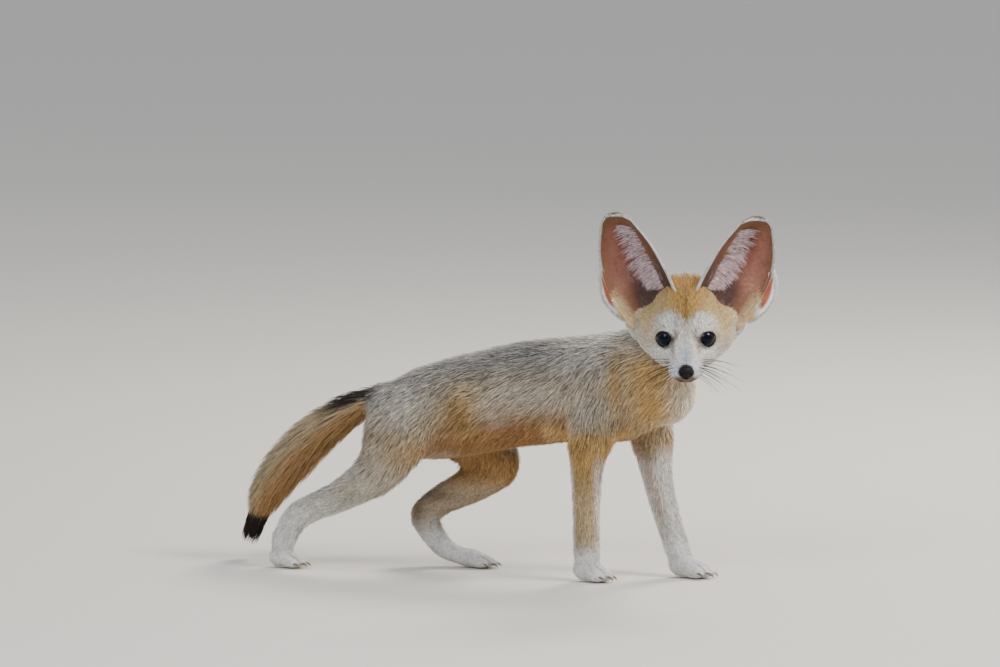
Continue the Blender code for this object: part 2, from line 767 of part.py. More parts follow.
def build():
    clear_scene()
    place = head_place()
    skin = body_skin()
    head = head_skin()
    eyes = {side: eyeball(side) for side in (-1, 1)}
    for side in (-1, 1):
        combine(head, grown(eyes[side], GAP, "socket"), "DIFFERENCE", "MANIFOLD")
        combine(head, lid_window(side), "DIFFERENCE", "MANIFOLD")
    nose = nose_pad()
    plain_nose = pad_form()
    combine(head, grown(plain_nose, GAP, "nose bed"), "DIFFERENCE", "MANIFOLD")
    bpy.data.objects.remove(plain_nose, do_unlink=True)
    combine(head, mouth_groove(head), "DIFFERENCE", "MANIFOLD")
    largest(head)
    ears = {side: ear(side) for side in (-1, 1)}
    bed = grown(head, GAP, "bed")
    for side in (-1, 1):
        combine(ears[side], bed, "DIFFERENCE", keep_other=True)
        largest(ears[side])
        finish(ears[side], "ear_left" if side > 0 else "ear_right", "ear")
        finish(eyes[side], "eye_left" if side > 0 else "eye_right", "black", 0.08)
    bpy.data.objects.remove(bed, do_unlink=True)
    finish(head, "head", "gold")
    finish(nose, "nose", "black", 0.35)
    for made in [head, nose, *ears.values(), *eyes.values()]:
        moved(made, place)

    # The legs come off the trunk with boxes and are then parted in their lengths
    trunk = copy_of(skin, "trunk")
    for leg, root in LEG_ROOTS.items():
        limb = combine(copy_of(skin, leg), block(root, -GAP / 2), "INTERSECT")
        largest(limb)
        combine(trunk, block(root, GAP / 2), "DIFFERENCE")
        side = leg.split("_")[-1]
        foot = ("forepaw_" if "fore" in leg else "hindpaw_") + side
        planes = [*LEG_CUTS[leg], PAW_CUT[foot]]
        names = [*LEG_NAMES[leg], foot]
        rest = limb
        for (point, up), name in zip(planes, names):
            lower = copy_of(rest, "lower")
            largest(clip(rest, point, up))
            largest(clip(lower, point, -Vector(up)))
            finish(rest, name, "buff" if "thigh" in name or "upper" in name else "white")
            rest = lower
        clip(rest, (0, 0, 0), (0, 0, 1), gap=0)
        for claw in claws(foot):
            combine(rest, claw, "UNION")
        largest(rest)
        finish(rest, foot, "white")
    bpy.data.objects.remove(skin, do_unlink=True)
    largest(trunk)

    # The neck is what lies between the withers and the head
    neck = copy_of(trunk, "neck")
    clip(neck, *NECK_BASE)
    combine(neck, grown(head, GAP, "nape"), "DIFFERENCE")
    largest(neck)
    clip(trunk, NECK_BASE[0], -Vector(NECK_BASE[1]))
    finish(neck, "neck", "buff")
    tail = tail_form()
    combine(tail, grown(trunk, GAP, "rump"), "DIFFERENCE", "MANIFOLD")
    for name in ("thigh_left", "thigh_right"):
        combine(tail, grown(bpy.data.objects[name], GAP, "rump"), "DIFFERENCE", "MANIFOLD")
    largest(tail)
    finish(tail, "tail", "tail")
    finish(trunk, "torso", "buff")
    return centred()


def centred():
    """Moves all the parts so that the box round them stands centred on the origin."""
    meshes = [o.data for o in bpy.context.scene.objects]
    corners = np.array([v.co for mesh in meshes for v in mesh.vertices])
    low, high = corners.min(axis=0), corners.max(axis=0)
    shift = Vector((-(low[0] + high[0]) / 2, -(low[1] + high[1]) / 2, -low[2]))
    for mesh in meshes:
        mesh.transform(Matrix.Translation(shift))
    return shift


SHIFT = build()
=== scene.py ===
"""A fennec fox, life size: skin, coat of solid tufts, eyes, nose, ears, claws and whiskers.

Measures are in millimetres in the fox's own frame (it faces +X, +Y is its left, the
floor is z = 0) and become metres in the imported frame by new_mesh(), with SHIFT.
"""

import math

import bmesh
import bpy
import numpy as np
from mathutils import Matrix, Vector
from mathutils.bvhtree import BVHTree


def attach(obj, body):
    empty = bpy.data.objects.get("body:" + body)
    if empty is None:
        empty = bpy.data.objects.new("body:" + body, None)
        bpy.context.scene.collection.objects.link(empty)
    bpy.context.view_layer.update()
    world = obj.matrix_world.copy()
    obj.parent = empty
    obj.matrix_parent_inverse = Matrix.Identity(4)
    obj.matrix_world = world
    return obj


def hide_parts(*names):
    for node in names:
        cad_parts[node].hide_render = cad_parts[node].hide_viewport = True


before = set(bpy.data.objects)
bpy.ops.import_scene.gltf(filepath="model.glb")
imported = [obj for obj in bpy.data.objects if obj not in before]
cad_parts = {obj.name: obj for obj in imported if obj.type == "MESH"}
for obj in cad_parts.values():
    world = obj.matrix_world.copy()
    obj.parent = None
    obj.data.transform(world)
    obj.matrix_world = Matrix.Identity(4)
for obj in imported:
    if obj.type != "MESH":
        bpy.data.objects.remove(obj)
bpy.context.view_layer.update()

MM = 0.001
SEED = 11
rng = np.random.default_rng(SEED)

# The head's own frame: x to the nose, y to the fox's left, z up
HEAD_AT = (201.4, -38, 210.7)
HEAD_YAW, HEAD_PITCH = -70, 18
EYE_AT, EYE_RADIUS = (17.6, 15.2, 3.5), 8.8
EYE_YAW, EYE_PITCH = 19, 10
NOSE_AT = (58.5, 0, -8.6)
MOUTH = ((59, 0, -15), (55, 6, -16), (48, 10, -16), (40, 12, -14.5), (33, 14, -11.5))

# Centre lines that the coat follows from head to paws and tail: x, y, z
LINES = {
    "trunk": (
        (196, -14, 190), (170, 0, 172), (140, 0, 160), (80, 0, 152), (20, 0, 142), (-40, 0, 130),
        (-85, 0, 118)),
    "foreleg_right": ((122, -20, 165), (114, -25, 116), (111, -26, 80), (112.5, -26, 37), (116, -26, 8)),
    "foreleg_left": ((142, 20, 165), (150, 24.5, 114), (155, 26, 78), (167.5, 26, 35), (182, 26, 8)),
    "hindleg_right": (
        (-30, -15, 150), (-51, -21, 124), (-68, -28, 86), (-106, -28, 60), (-141, -28, 43), (-150, -28, 8)),
    "hindleg_left": (
        (-30, 15, 150), (-12, 20, 123), (8, 26, 84), (-20, 26, 62), (-50, 26, 40), (-36, 26, 10), (0, 26, 6)),
}
TAIL = (
    (-66, 0, 144, 9),
    (-92, 1, 136.5, 13.5),
    (-126, 2, 115.5, 19),
    (-156, 5, 88, 21),
    (-178, 9, 63, 19),
    (-189, 13, 44, 14),
    (-194, 15, 32, 7),
)
PAWS = {
    "forepaw_right": ((111.5, -26), -4, 1.0, 1.0),
    "forepaw_left": ((178, 26), -6, 1.12, 0.88),
    "hindpaw_right": ((-155, -28), -2, 0.96, 0.85),
    "hindpaw_left": ((-10, 26), -2, 1.06, 0.72),
}
TOES = (-7.4, -2.6, 2.6, 7.4)
EAR = (
    (4, 9, 18, -1, 40, 2, 15),
    (0, 8.5, 33, -8, 50, 13, 20),
    (-3.5, 12.5, 43.5, -13, 58, 24, 21),
    (-8, 18.5, 54.5, -19, 65.5, 37.5, 21),
    (-15, 29.5, 72, -25, 70, 58, 17),
    (-20.8, 40.2, 84.4, -27.2, 69, 77, 11),
    (-23, 45.4, 90, -27.8, 68, 85.5, 8),
    (-24.4, 49.6, 92, -27.8, 65.8, 89.8, 5),
)
EAR_BACK = (-0.97, 0.1, 0.22)
EAR_SHORTER = {-1: 1.0, 1: 0.95}
EAR_WIDER = {-1: (1.3, 1.2), 1: (1.6, 3.4)}
EAR_LOBE = (
    (-7, 46, 10, 4, 2.4),
    (-11, 54.5, 15.5, 4.6, 2.0),
    (-15.5, 61.5, 23.5, 4.8, 1.7),
    (-19.5, 65.4, 33, 3.6, 1.5),
    (-22, 67, 40, 2.2, 1.4),
    (-23.5, 66.6, 45.5, 1.3, 1.2),
)
EAR_LOBE_ACROSS = (0, 0.87, -0.5)
EAR_LOBE_WIDER = {-1: 0.0, 1: 1.2}
EYE_OPEN = (7.35, 6.45)  # half width and half height of the opening of the lids

# Coat by region: depth of the coat over the skin, length and width of its tufts
COAT = {
    "torso": (4.2, 11.5, 0.95),
    "neck": (4.4, 12, 0.95),
    "head": (2.0, 6.2, 0.66),
    "thigh": (3.2, 10, 0.9),
    "upper": (3.2, 9.5, 0.9),
    "leg": (1.7, 6.5, 0.7),
    "paw": (1.0, 3.8, 0.6),
}
GAP_CLOSED = 0.45  # how far the solids swell so that the gaps between them close
VOXEL = 1.35  # cell of the skin's remesh
PAW_GAPS = (-5.1, 0, 5.1)
SKIN_PAINTED_SHADE = 0.66  # painted shade: the skin is painted darker than the coat's tips over it, for the shade deep between the tufts
PIECE_LIMIT = 195000  # triangles of one coat piece at most
TUFT_FACES = {1: 4, 2: 10, 3: 16}
GRIZZLE_SHARE, GRIZZLE_SHADE = 0.2, 0.42  # dark hairs on the back
BRUSH_TUFTS = 7000
UV_PATCH = 0.003  # size of a tuft's patch on the unwrap
TUFT_SHADES = 0.64, 0.42, 1.16  # tone at the root, rise along the tuft, at the tip: partly the coat's own pale tips, partly painted shade deep in the coat at the roots


# Frames and small sums

def head_place():
    yaw = Matrix.Rotation(math.radians(HEAD_YAW), 4, "Z")
    return Matrix.Translation(HEAD_AT) @ yaw @ Matrix.Rotation(math.radians(HEAD_PITCH), 4, "Y")


HEAD = np.array(head_place())


def from_head(points):
    return np.asarray(points, float) @ HEAD[:3, :3].T + HEAD[:3, 3]


def to_head(points):
    return (np.asarray(points, float) - HEAD[:3, 3]) @ HEAD[:3, :3]


# From the fox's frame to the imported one
SHIFT = np.array((-29.165, 27.041, 0))


def unit(v):
    return v / np.maximum(np.linalg.norm(v, axis=-1, keepdims=True), 1e-9)


def flattened(way, normal):
    """The way along a surface that comes nearest to a way in space."""
    return unit(way - normal * (way * normal).sum(axis=1, keepdims=True))


def step(x, low, high):
    """Smooth rise from 0 to 1 between low and high."""
    t = np.clip((x - low) / (high - low), 0, 1)
    return t * t * (3 - 2 * t)


def spot(p, centre, radii):
    """1 at a centre, fading out round it."""
    d = (p - np.array(centre, float)) / np.array(radii, float)
    return np.exp(-(d * d).sum(axis=1))


def hump(x, middle, width):
    return np.exp(-((x - middle) / width) ** 2)


def mix(a, b, t):
    return a + (np.array(b, float) - a) * np.asarray(t)[:, None]


def layered(colours, *layers):
    """Colours with layers of a tone and its share laid over them in turn."""
    for tone, share in layers:
        colours = mix(colours, tone, share)
    return colours


def srgb(r, g, b):
    """A colour from 0 to 255 as the eye sees it, made linear."""
    c = np.array((r, g, b)) / 255
    return np.where(c <= 0.04045, c / 12.92, ((c + 0.055) / 1.055) ** 2.4)


def paw_place(name):
    """The paw's own frame, its x to the toes, in the fox's frame."""
    at, heading, size, height = PAWS[name]
    turn = Matrix.Rotation(math.radians(heading), 4, "Z")
    return Matrix.Translation((*at, 0)) @ turn @ Matrix.Diagonal((size, size, size * height, 1))


def toe_reach(across):
    """How far ahead of the paw's middle a toe stands."""
    return 14.5 if abs(across) < 4 else 10.5


def through(rows, steps):
    """Rows on one smooth curve through the given rows."""
    rows = np.array(rows, float)
    lengths = np.linalg.norm(np.diff(rows[:, :3], axis=0), axis=1)
    at = np.concatenate([[0], np.cumsum(lengths)])
    slopes = np.gradient(rows, at, axis=0)
    made = []
    for i, length in enumerate(lengths):
        for t in np.arange(steps) / steps:
            a, b = 1 - t, t
            near = rows[i] * (1 + 2 * t) * a * a + slopes[i] * length * t * a * a
            far = rows[i + 1] * (3 - 2 * t) * b * b - slopes[i + 1] * length * b * b * a
            made.append(near + far)
    made.append(rows[-1])
    return np.array(made)


def curve(line, steps):
    """Points on one smooth curve through the given points."""
    return through([(*p, 0) for p in line], steps)[:, :3]


# Meshes

def placed(name, data):
    made = bpy.data.objects.new(name, data)
    bpy.context.scene.collection.objects.link(made)
    return made


def new_mesh(name, points, tris):
    """A smooth mesh object from points in the fox's frame and triangles."""
    mesh = bpy.data.meshes.new(name)
    tris = np.asarray(tris, np.int32)
    mesh.vertices.add(len(points))
    mesh.vertices.foreach_set("co", ((np.asarray(points) + SHIFT) * MM).astype(np.float32).ravel())
    mesh.loops.add(tris.size)
    mesh.loops.foreach_set("vertex_index", tris.ravel())
    mesh.polygons.add(len(tris))
    mesh.polygons.foreach_set("loop_start", np.arange(0, tris.size, 3, dtype=np.int32))
    mesh.polygons.foreach_set("use_smooth", np.ones(len(tris), bool))
    mesh.update(calc_edges=True)
    return placed(name, mesh)


def paint(made, colours):
    layer = made.data.color_attributes.new("MarkingAndPaintedLight", "FLOAT_COLOR", "POINT")
    rgba = np.ones((len(colours), 4), np.float32)
    rgba[:, :3] = np.clip(colours, 0, 1)
    layer.data.foreach_set("color", rgba.ravel())


def settle(made, slot, *nodes):
    """Sets a piece on the still body, in place of the nodes that it stands for."""
    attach(made, "root")
    if nodes:
        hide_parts(*nodes)
    return made


def piece(name, points, tris, material, slot, *nodes, colours=None):
    made = new_mesh(name, points, tris)
    if colours is not None:
        paint(made, colours)
    made.data.materials.append(material)
    return settle(made, slot, *nodes)


def arrays(mesh):
    """Points in the fox's frame and triangles of a mesh."""
    mesh.calc_loop_triangles()
    points = np.empty(len(mesh.vertices) * 3, np.float32)
    mesh.vertices.foreach_get("co", points)
    tris = np.empty(len(mesh.loop_triangles) * 3, np.int32)
    mesh.loop_triangles.foreach_get("vertices", tris)
    return points.reshape(-1, 3) / MM - SHIFT, tris.reshape(-1, 3)


def vertex_normals(points, tris):
    a, b, c = (points[tris[:, k]] for k in range(3))
    face = np.cross(b - a, c - a)
    out = np.zeros_like(points)
    for k in range(3):
        np.add.at(out, tris[:, k], face)
    return unit(out)


def smoothed(values, edges, rounds):
    """Each value drawn towards the mean of its neighbours."""
    count = np.bincount(edges.ravel(), minlength=len(values)).astype(float)
    for _ in range(rounds):
        total = np.zeros_like(values)
        np.add.at(total, edges[:, 0], values[edges[:, 1]])
        np.add.at(total, edges[:, 1], values[edges[:, 0]])
        values = 0.5 * values + 0.5 * total / count[:, None]
    return values


def edges_of(tris):
    pairs = np.sort(np.concatenate([tris[:, [0, 1]], tris[:, [1, 2]], tris[:, [2, 0]]]), axis=1)
    return np.unique(pairs, axis=0)


def split(a, b, c, d):
    """Two triangles for each four-sided cell."""
    return np.concatenate([np.stack([a, b, c], -1).reshape(-1, 3), np.stack([a, c, d], -1).reshape(-1, 3)])


def tube(line, radii, sides=10, side=(0, 1, 0)):
    """Points and triangles of a closed tube with pointed or flat ends."""
    line = np.array(line, float)
    ahead = unit(np.gradient(line, axis=0))
    lateral = unit(np.array(side, float) - ahead * (ahead @ np.array(side, float))[:, None])
    other = np.cross(ahead, lateral)
    turn = 2 * np.pi * np.arange(sides) / sides
    ring = lateral[:, None] * np.cos(turn)[:, None] + other[:, None] * np.sin(turn)[:, None]
    points = line[:, None] + ring * np.asarray(radii, float)[:, None, None]
    count = len(line)
    grid = np.arange(count * sides).reshape(count, sides)
    a, b = grid[:-1], np.roll(grid, -1, axis=1)[:-1]
    c, d = np.roll(grid, -1, axis=1)[1:], grid[1:]
    first = [(0, k + 1, k) for k in range(1, sides - 1)]
    end = (count - 1) * sides
    last = [(end, end + k, end + k + 1) for k in range(1, sides - 1)]
    return points.reshape(-1, 3), np.concatenate([split(a, b, c, d), first, last])


def joined(parts):
    """Several point and triangle pairs as one."""
    starts = np.cumsum([0] + [len(points) for points, _ in parts])
    tris = [np.asarray(tris) + start for (_, tris), start in zip(parts, starts)]
    return np.concatenate([points for points, _ in parts]), np.concatenate(tris)


def ball(centre, radii, turn=None, rings=20):
    form = bmesh.new()
    bmesh.ops.create_uvsphere(form, u_segments=2 * rings, v_segments=rings, radius=1)
    bmesh.ops.triangulate(form, faces=form.faces[:])
    form.verts.index_update()
    points = np.array([v.co for v in form.verts]) * np.array(radii, float)
    tris = np.array(sorted([v.index for v in f.verts] for f in form.faces))
    form.free()
    if turn is not None:
        points = points @ np.array(turn.to_3x3()).T
    return points + np.array(centre, float), tris


# The skin

def region_of(node):
    for region in ("torso", "neck", "head", "upper", "thigh"):
        if node.startswith(region):
            return region
    return "paw" if "paw" in node else "leg"


def flesh_meshes():
    """Name, points and triangles of each flesh solid but the tail."""
    nodes = sorted(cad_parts.items())
    return [(node, *arrays(made.data)) for node, made in nodes
            if not node.startswith(("eye", "ear", "nose", "tail"))]


def flesh():
    """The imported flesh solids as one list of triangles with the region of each."""
    names, parts = list(COAT), flesh_meshes()
    points, tris = joined([part[1:] for part in parts])
    regions = [np.full(len(part_tris), names.index(region_of(node))) for node, _, part_tris in parts]
    return points, tris, np.concatenate(regions)


def welded(points, tris):
    """The same triangles with points that share a place made one."""
    keys, index = np.unique(np.round(points, 4), axis=0, return_inverse=True)
    return keys, index.reshape(-1)[tris]


def modified(made, *settings):
    """Applies modifiers given as (kind, {setting: value})."""
    for kind, values in settings:
        modifier = made.modifiers.new(kind, kind)
        for key, value in values.items():
            setattr(modifier, key, value)
    graph = bpy.context.evaluated_depsgraph_get()
    mesh = bpy.data.meshes.new_from_object(made.evaluated_get(graph))
    bpy.data.objects.remove(made, do_unlink=True)
    return mesh


def base_skin():
    """One closed skin over all the flesh, at the coat's outer surface, without seams."""
    parts = []
    for _, points, tris in flesh_meshes():
        points, tris = welded(points, tris)
        parts.append((points + GAP_CLOSED * vertex_normals(points, tris), tris))
    core = through(TAIL, 4)
    parts.append(tube(core[:, :3], core[:, 3] * 0.42, 14))
    for name in PAWS:
        turn = np.array(paw_place(name))
        for across in TOES:
            toe, tris = ball((toe_reach(across) + 0.3, across, 4.9), (8.6, 3.3, 5.7), rings=10)
            parts.append((toe @ turn[:3, :3].T + turn[:3, 3], tris))
    for side in (-1, 1):
        eye, tris = ball(eye_at(side), (EYE_RADIUS + 0.7,) * 3)
        parts.append((from_head(eye), tris))
    mesh = modified(
        new_mesh("skin", *joined(parts)),
        ("REMESH", {"mode": "VOXEL", "voxel_size": VOXEL * MM}),
        ("SMOOTH", {"factor": 0.5, "iterations": 7}),
    )
    return largest(*arrays(mesh))


def largest(points, tris):
    """The part of a mesh that hangs together and has the most points."""
    label = np.arange(len(points))
    edges = edges_of(tris)
    while True:
        low = label.copy()
        np.minimum.at(low, edges[:, 0], label[edges[:, 1]])
        np.minimum.at(low, edges[:, 1], label[edges[:, 0]])
        low = low[low]
        if (low == label).all():
            break
        label = low
    values, counts = np.unique(label, return_counts=True)
    keep = label == values[counts.argmax()]
    index = np.cumsum(keep) - 1
    return points[keep], index[tris[keep[tris].all(axis=1)]]


def eye_at(side):
    return np.array(EYE_AT) * (1, side, 1)


def eye_turn(side):
    yaw = Matrix.Rotation(math.radians(EYE_YAW * side), 4, "Z")
    return yaw @ Matrix.Rotation(math.radians(-EYE_PITCH), 4, "Y")


def in_eye(h, side):
    """Points of the head's frame in an eye's own frame, x along its look."""
    return (h - eye_at(side)) @ np.array(eye_turn(side).to_3x3())


def off_eye(h):
    """How far each point lies from the nearer eye's middle: 1 on the edge of its lids."""
    away = np.full(len(h), 99.0)
    for side in (-1, 1):
        x, y, z = in_eye(h, side).T
        q = np.hypot(y / EYE_OPEN[0], z / EYE_OPEN[1])
        away = np.where((x > 0) & (x < 16), np.minimum(away, q), away)
    return away


def open_lids(points):
    """Clears the skin before each eye and draws its edge on to the edge of the lids."""
    h = to_head(points)
    for side in (-1, 1):
        local = in_eye(h, side)
        x, y, z = local.T
        q = np.hypot(y / EYE_OPEN[0], z / EYE_OPEN[1])
        far = np.linalg.norm(local, axis=1)
        near = (x > 0) & (far < 15)
        edge = near & (np.abs(q - 1) < 0.12)
        local[edge, 1:] /= q[edge, None]
        size = np.linalg.norm(local, axis=1)
        local[edge] *= ((EYE_RADIUS + 0.35) / size[edge])[:, None]
        inside = near & (q <= 0.88)
        local[inside] *= (7.4 / size[inside])[:, None]
        lid = near & (q >= 1.12) & (q < 1.8) & (size < EYE_RADIUS + 0.5)
        local[lid] *= ((EYE_RADIUS + 0.5) / size[lid])[:, None]
        touched = edge | inside | lid
        turn = np.array(eye_turn(side).to_3x3())
        h[touched] = local[touched] @ turn.T + eye_at(side)
    return from_head(h)


def between_toes(p):
    """1 in the grooves between the toes and 0 away from them."""
    found = np.zeros(len(p))
    for name in PAWS:
        back = np.linalg.inv(np.array(paw_place(name)))
        x, y, z = (p @ back[:3, :3].T + back[:3, 3]).T
        for gap in PAW_GAPS:
            groove = hump(y, gap * (1 + 0.012 * (x - 12)), 0.95)
            found = np.maximum(found, groove * step(x, 7.5, 13.5) * (x < 32) * (z < 16))
    return found


def lie_of(p, normals, weights):
    """Which way the coat lies at each point, along the skin."""
    total = np.zeros_like(p)
    for line in LINES.values():
        line = curve(line, 4)
        middle, way = (line[1:] + line[:-1]) / 2, unit(np.diff(line, axis=0))
        for m, w in zip(middle, way):
            far = ((p - m) ** 2).sum(axis=1)
            total += w * (1 / (far + 60) ** 2)[:, None]
    body = unit(total)
    body[:, 2] -= 0.28 * weights[:, 0] * np.abs(normals[:, 1])
    h = to_head(p)
    nose = np.array((60, 0, -9))
    out = h - nose
    for side in (-1, 1):
        eye = np.array((EYE_AT[0] + 8, EYE_AT[1] * side * 0.8, EYE_AT[2] - 1))
        near = np.exp(-((h - eye) ** 2).sum(axis=1) / 120)[:, None]
        out = unit(out) + near * unit(h - eye) * 1.2
    head = unit(out) @ HEAD[:3, :3].T
    head[:, 2] -= 0.25 * step(-to_head(p)[:, 2], 0, 22)
    share = weights[:, 2:3]
    way = unit(body) * (1 - share) + head * share
    return flattened(way, normals)


def along_tail(p):
    """How far along the tail each point is, from 0 to 1, and how near its line."""
    line = through(TAIL, 6)[:, :3]
    far = ((p[:, None, :] - line[None]) ** 2).sum(axis=2)
    return far.argmin(axis=1) / (len(line) - 1), np.sqrt(far.min(axis=1))


# Markings with painted light and shade, shared by skin and coat

BUFF = srgb(180, 162, 134)
GREY = srgb(158, 154, 150)
PALE = srgb(208, 200, 188)
WHITE = srgb(242, 238, 234)
GOLD = srgb(186, 146, 84)
ORANGE = srgb(158, 114, 70)
TAN = srgb(200, 158, 98)
BROWN = srgb(104, 72, 44)
DARK = srgb(34, 27, 25)


def body_colours(p, n, regions):
    """Colours of trunk, neck and legs."""
    x, y, z = p.T

    def at(centre, radii):
        return spot(p, centre, radii)

    # Painted sky light and highlight: surfaces that face up are painted greyer, and paler towards the front;
    # the grey is partly the back's own grizzled colour
    top = step(n[:, 2], -0.05, 0.75)
    # Painted shade and warm bounce light: surfaces that face down are painted a darker orange, partly the
    # underside's own warm colour
    low = step(-n[:, 2], -0.12, 0.55) * (1 - step(x, 140, 165))
    chest = step(x, 148, 168) * step(z, 104, 120) * (1 - step(z, 176, 194))
    c = layered(
        BUFF,
        (GREY, 0.85 * top * (1 - 0.6 * step(x, 95, 140))),
        (PALE, 0.85 * top * step(x, 76, 118)),
        (BUFF, 0.5 * at((20, -34, 160), (46, 12, 8))),
        (PALE, 0.55 * at((70, -34, 150), (56, 24, 17))),
        (ORANGE, 0.9 * low * step(z, 80, 98)),
        (ORANGE, 0.6 * at((60, -34, 120), (64, 24, 13))),
        (GOLD, 0.7 * step(-y, 8, 20) * at((141, -32, 172), (8, 30, 26))),
        (GOLD, 0.8 * at((6, -32, 139), (17, 22, 20))),
        (BROWN, 0.32 * at((4, -34, 131), (10, 22, 11))),
        (PALE, 0.8 * at((-46, -34, 148), (24, 22, 18))),
        (srgb(206, 182, 172), 0.5 * at((36, -34, 133), (14, 18, 7))),
        (TAN, 0.5 * at((158, -24, 176), (16, 22, 18))),
        (srgb(210, 168, 108), 0.9 * chest),
        (GOLD, 0.45 * chest * at((170, -22, 146), (12, 16, 14))),
        # The chest's front edge is painted near white: partly its own white fur, partly painted rim light
        (srgb(242, 226, 204), 0.9 * step(x + 0.62 * y, 160, 194) * step(z, 108, 134)),
        (WHITE, 0.55 * at((176, -16, 124), (14, 16, 8))),
        (DARK, 0.8 * at((-82, -3, 150), (13, 14, 7)) * step(n[:, 2], 0.1, 0.5)),
    )
    leg = np.clip(regions[:, 3:7].sum(axis=1), 0, 1)
    fore, right = step(x, 60, 80), step(-y, -6, 6)
    fore_right, fore_left = leg * fore * right, leg * fore * (1 - right)
    hind_right, hind_left = leg * (1 - fore) * right, leg * (1 - fore) * (1 - right)
    # Painted rim light: the right foreleg's front and back edges are painted white
    edge = step(np.abs(x - 111.5), 7.5, 12.5) * step(114 - z, 0, 36)
    middle = np.interp(z, (35, 78, 114), (165.5, 152.5, 146.5))
    band = hump(x, middle, 6) * step(z, 34, 60)
    return layered(
        c,
        (srgb(206, 178, 138), 0.9 * fore_right * step(z, 20, 56)),
        (TAN, 0.8 * fore_right * step(z, 76, 106)),
        (GOLD, 0.7 * fore_right * at((111, -36, 100), (12, 12, 22))),
        (WHITE, 0.9 * fore_right * edge),
        (PALE, 0.95 * fore_left),
        (srgb(186, 150, 108), 0.8 * fore_left * step(z, 90, 116)),
        (WHITE, 0.6 * fore_left * step(118 - z, 0, 26)),
        (srgb(186, 158, 140), 0.7 * fore_left * band),
        (srgb(172, 132, 82), 0.95 * hind_left * step(z, 56, 80)),
        (ORANGE, 0.6 * hind_left * at((-4, 14, 104), (24, 14, 20))),
        (srgb(176, 156, 130), 0.8 * hind_left * (1 - step(z, 50, 74))),
        (PALE, 0.85 * hind_left * (1 - step(z, 34, 48))),
        (WHITE, 0.7 * hind_left * at((-66, 20, 52), (7, 14, 16))),
        (BROWN, 0.55 * hind_left * at((-53, 18, 44), (5, 12, 12))),
        (BROWN, 0.5 * hind_left * at((-34, 17, 60), (18, 9, 5))),
        (PALE, 0.55 * hind_right * (1 - step(z, 84, 120))),
        (GOLD, 0.5 * hind_right * at((-34, -36, 100), (26, 14, 18))),
        (WHITE, 0.8 * hind_right * (1 - step(z, 40, 70))),
        (WHITE, 0.92 * leg * (1 - step(z, 18, 38))),
    )


def wobble(h):
    """A soft uneven edge for markings of the head, between -1 and 1."""
    x, y, z = h.T
    return 0.6 * np.sin(0.9 * y + 0.35 * z + 1) * np.cos(0.5 * x + 0.6 * z) + 0.4 * np.sin(1.9 * y - 0.8 * x)


def head_colours(p):
    """Colours of the head, in its own frame; both sides alike."""
    h = to_head(p)
    x, y, z = h.T
    wide = np.abs(y)
    m = np.column_stack([x, wide, z])
    rise = 0.906 * z - 0.4227 * x + 0.7 * wobble(h)
    ahead = step(x, -24, -12)

    def seen(across, up, radius_across, radius_up):
        """A spot placed as it is seen from straight ahead of the face."""
        return hump(wide, across, radius_across) * hump(rise, up, radius_up) * ahead

    edge = 9 + 3.5 * hump(wide, 13, 7) - 5.5 * hump(wide, 0, 4.5) - 7 * step(wide, 20, 32)
    gold = mix(srgb(180, 140, 74), srgb(196, 166, 118), step(wide, 8, 26))
    cheeks = spot(m, (-15, 44, -6), (16, 12, 18)) + spot(m, (-8, 34, -20), (16, 14, 12))
    tears = seen(10.2, -13, 1.7, 7) + seen(8.6, -5, 1.6, 4)
    chin = step(-rise, 35, 37.5) * (1 - step(wide, 7, 11)) * step(x, 34, 42)
    return layered(
        srgb(222, 214, 204),
        (srgb(200, 180, 150), 0.75 * step(-x, -10, 4)),
        (srgb(190, 152, 98), 0.8 * seen(31, 2, 7, 13)),
        (srgb(198, 168, 122), 0.55 * seen(24, -12, 7, 8)),
        (gold, 0.97 * step(rise - edge, -4, 7)),
        (srgb(146, 104, 52), 0.75 * spot(m, (-6, 4, 38), (14, 8, 11))),
        (PALE, 0.85 * step(z, 39, 45) * step(-x, 8, 16)),
        (BUFF, 0.8 * step(-x, 12, 24) * step(z, -26, -8)),
        (WHITE, 0.9 * np.clip(cheeks, 0, 1)),
        (BROWN, 0.6 * seen(0, 16, 1.5, 15)),
        (BROWN, 0.34 * seen(6.5, 11, 2.0, 6)),
        (WHITE, 0.7 * seen(13, 8, 5.6, 2.8)),
        (WHITE, 0.85 * seen(20, -15, 9, 6)),
        (srgb(172, 164, 156), 0.55 * seen(0, -4, 5, 8)),
        (srgb(96, 70, 48), 0.8 * np.clip(tears, 0, 1)),
        (DARK, 0.8 * step(-off_eye(h), -1.26, -1.12)),
        # Painted sky light: the bridge and the muzzle's pads are painted with a blue tint over their own grey
        # and white
        (srgb(150, 160, 180), 0.85 * seen(0, -22, 4.5, 11)),
        (srgb(84, 80, 92), 0.85 * seen(0, -30.5, 4.2, 3)),
        (srgb(218, 222, 236), 0.85 * seen(8.5, -31, 4, 6)),
        (srgb(108, 78, 50), 0.9 * chin),
    )


def tail_colours(p, n):
    """Colours of the tail: a dark spot above its root, brown beneath, black at the end."""
    at, _ = along_tail(p)
    up = n[:, 2]
    return layered(
        srgb(176, 156, 124),
        (srgb(166, 122, 74), 0.8 * step(-up, -0.35, 0.35)),
        (DARK, 0.96 * (1 - step(at, 0.24, 0.34)) * step(up, 0.15, 0.45)),
        (DARK, 0.4 * step(at, 0.3, 0.8) * step(up, 0.1, 0.8)),
        (srgb(34, 26, 23), step(at, 0.80, 0.93)),
    )


# Tufts

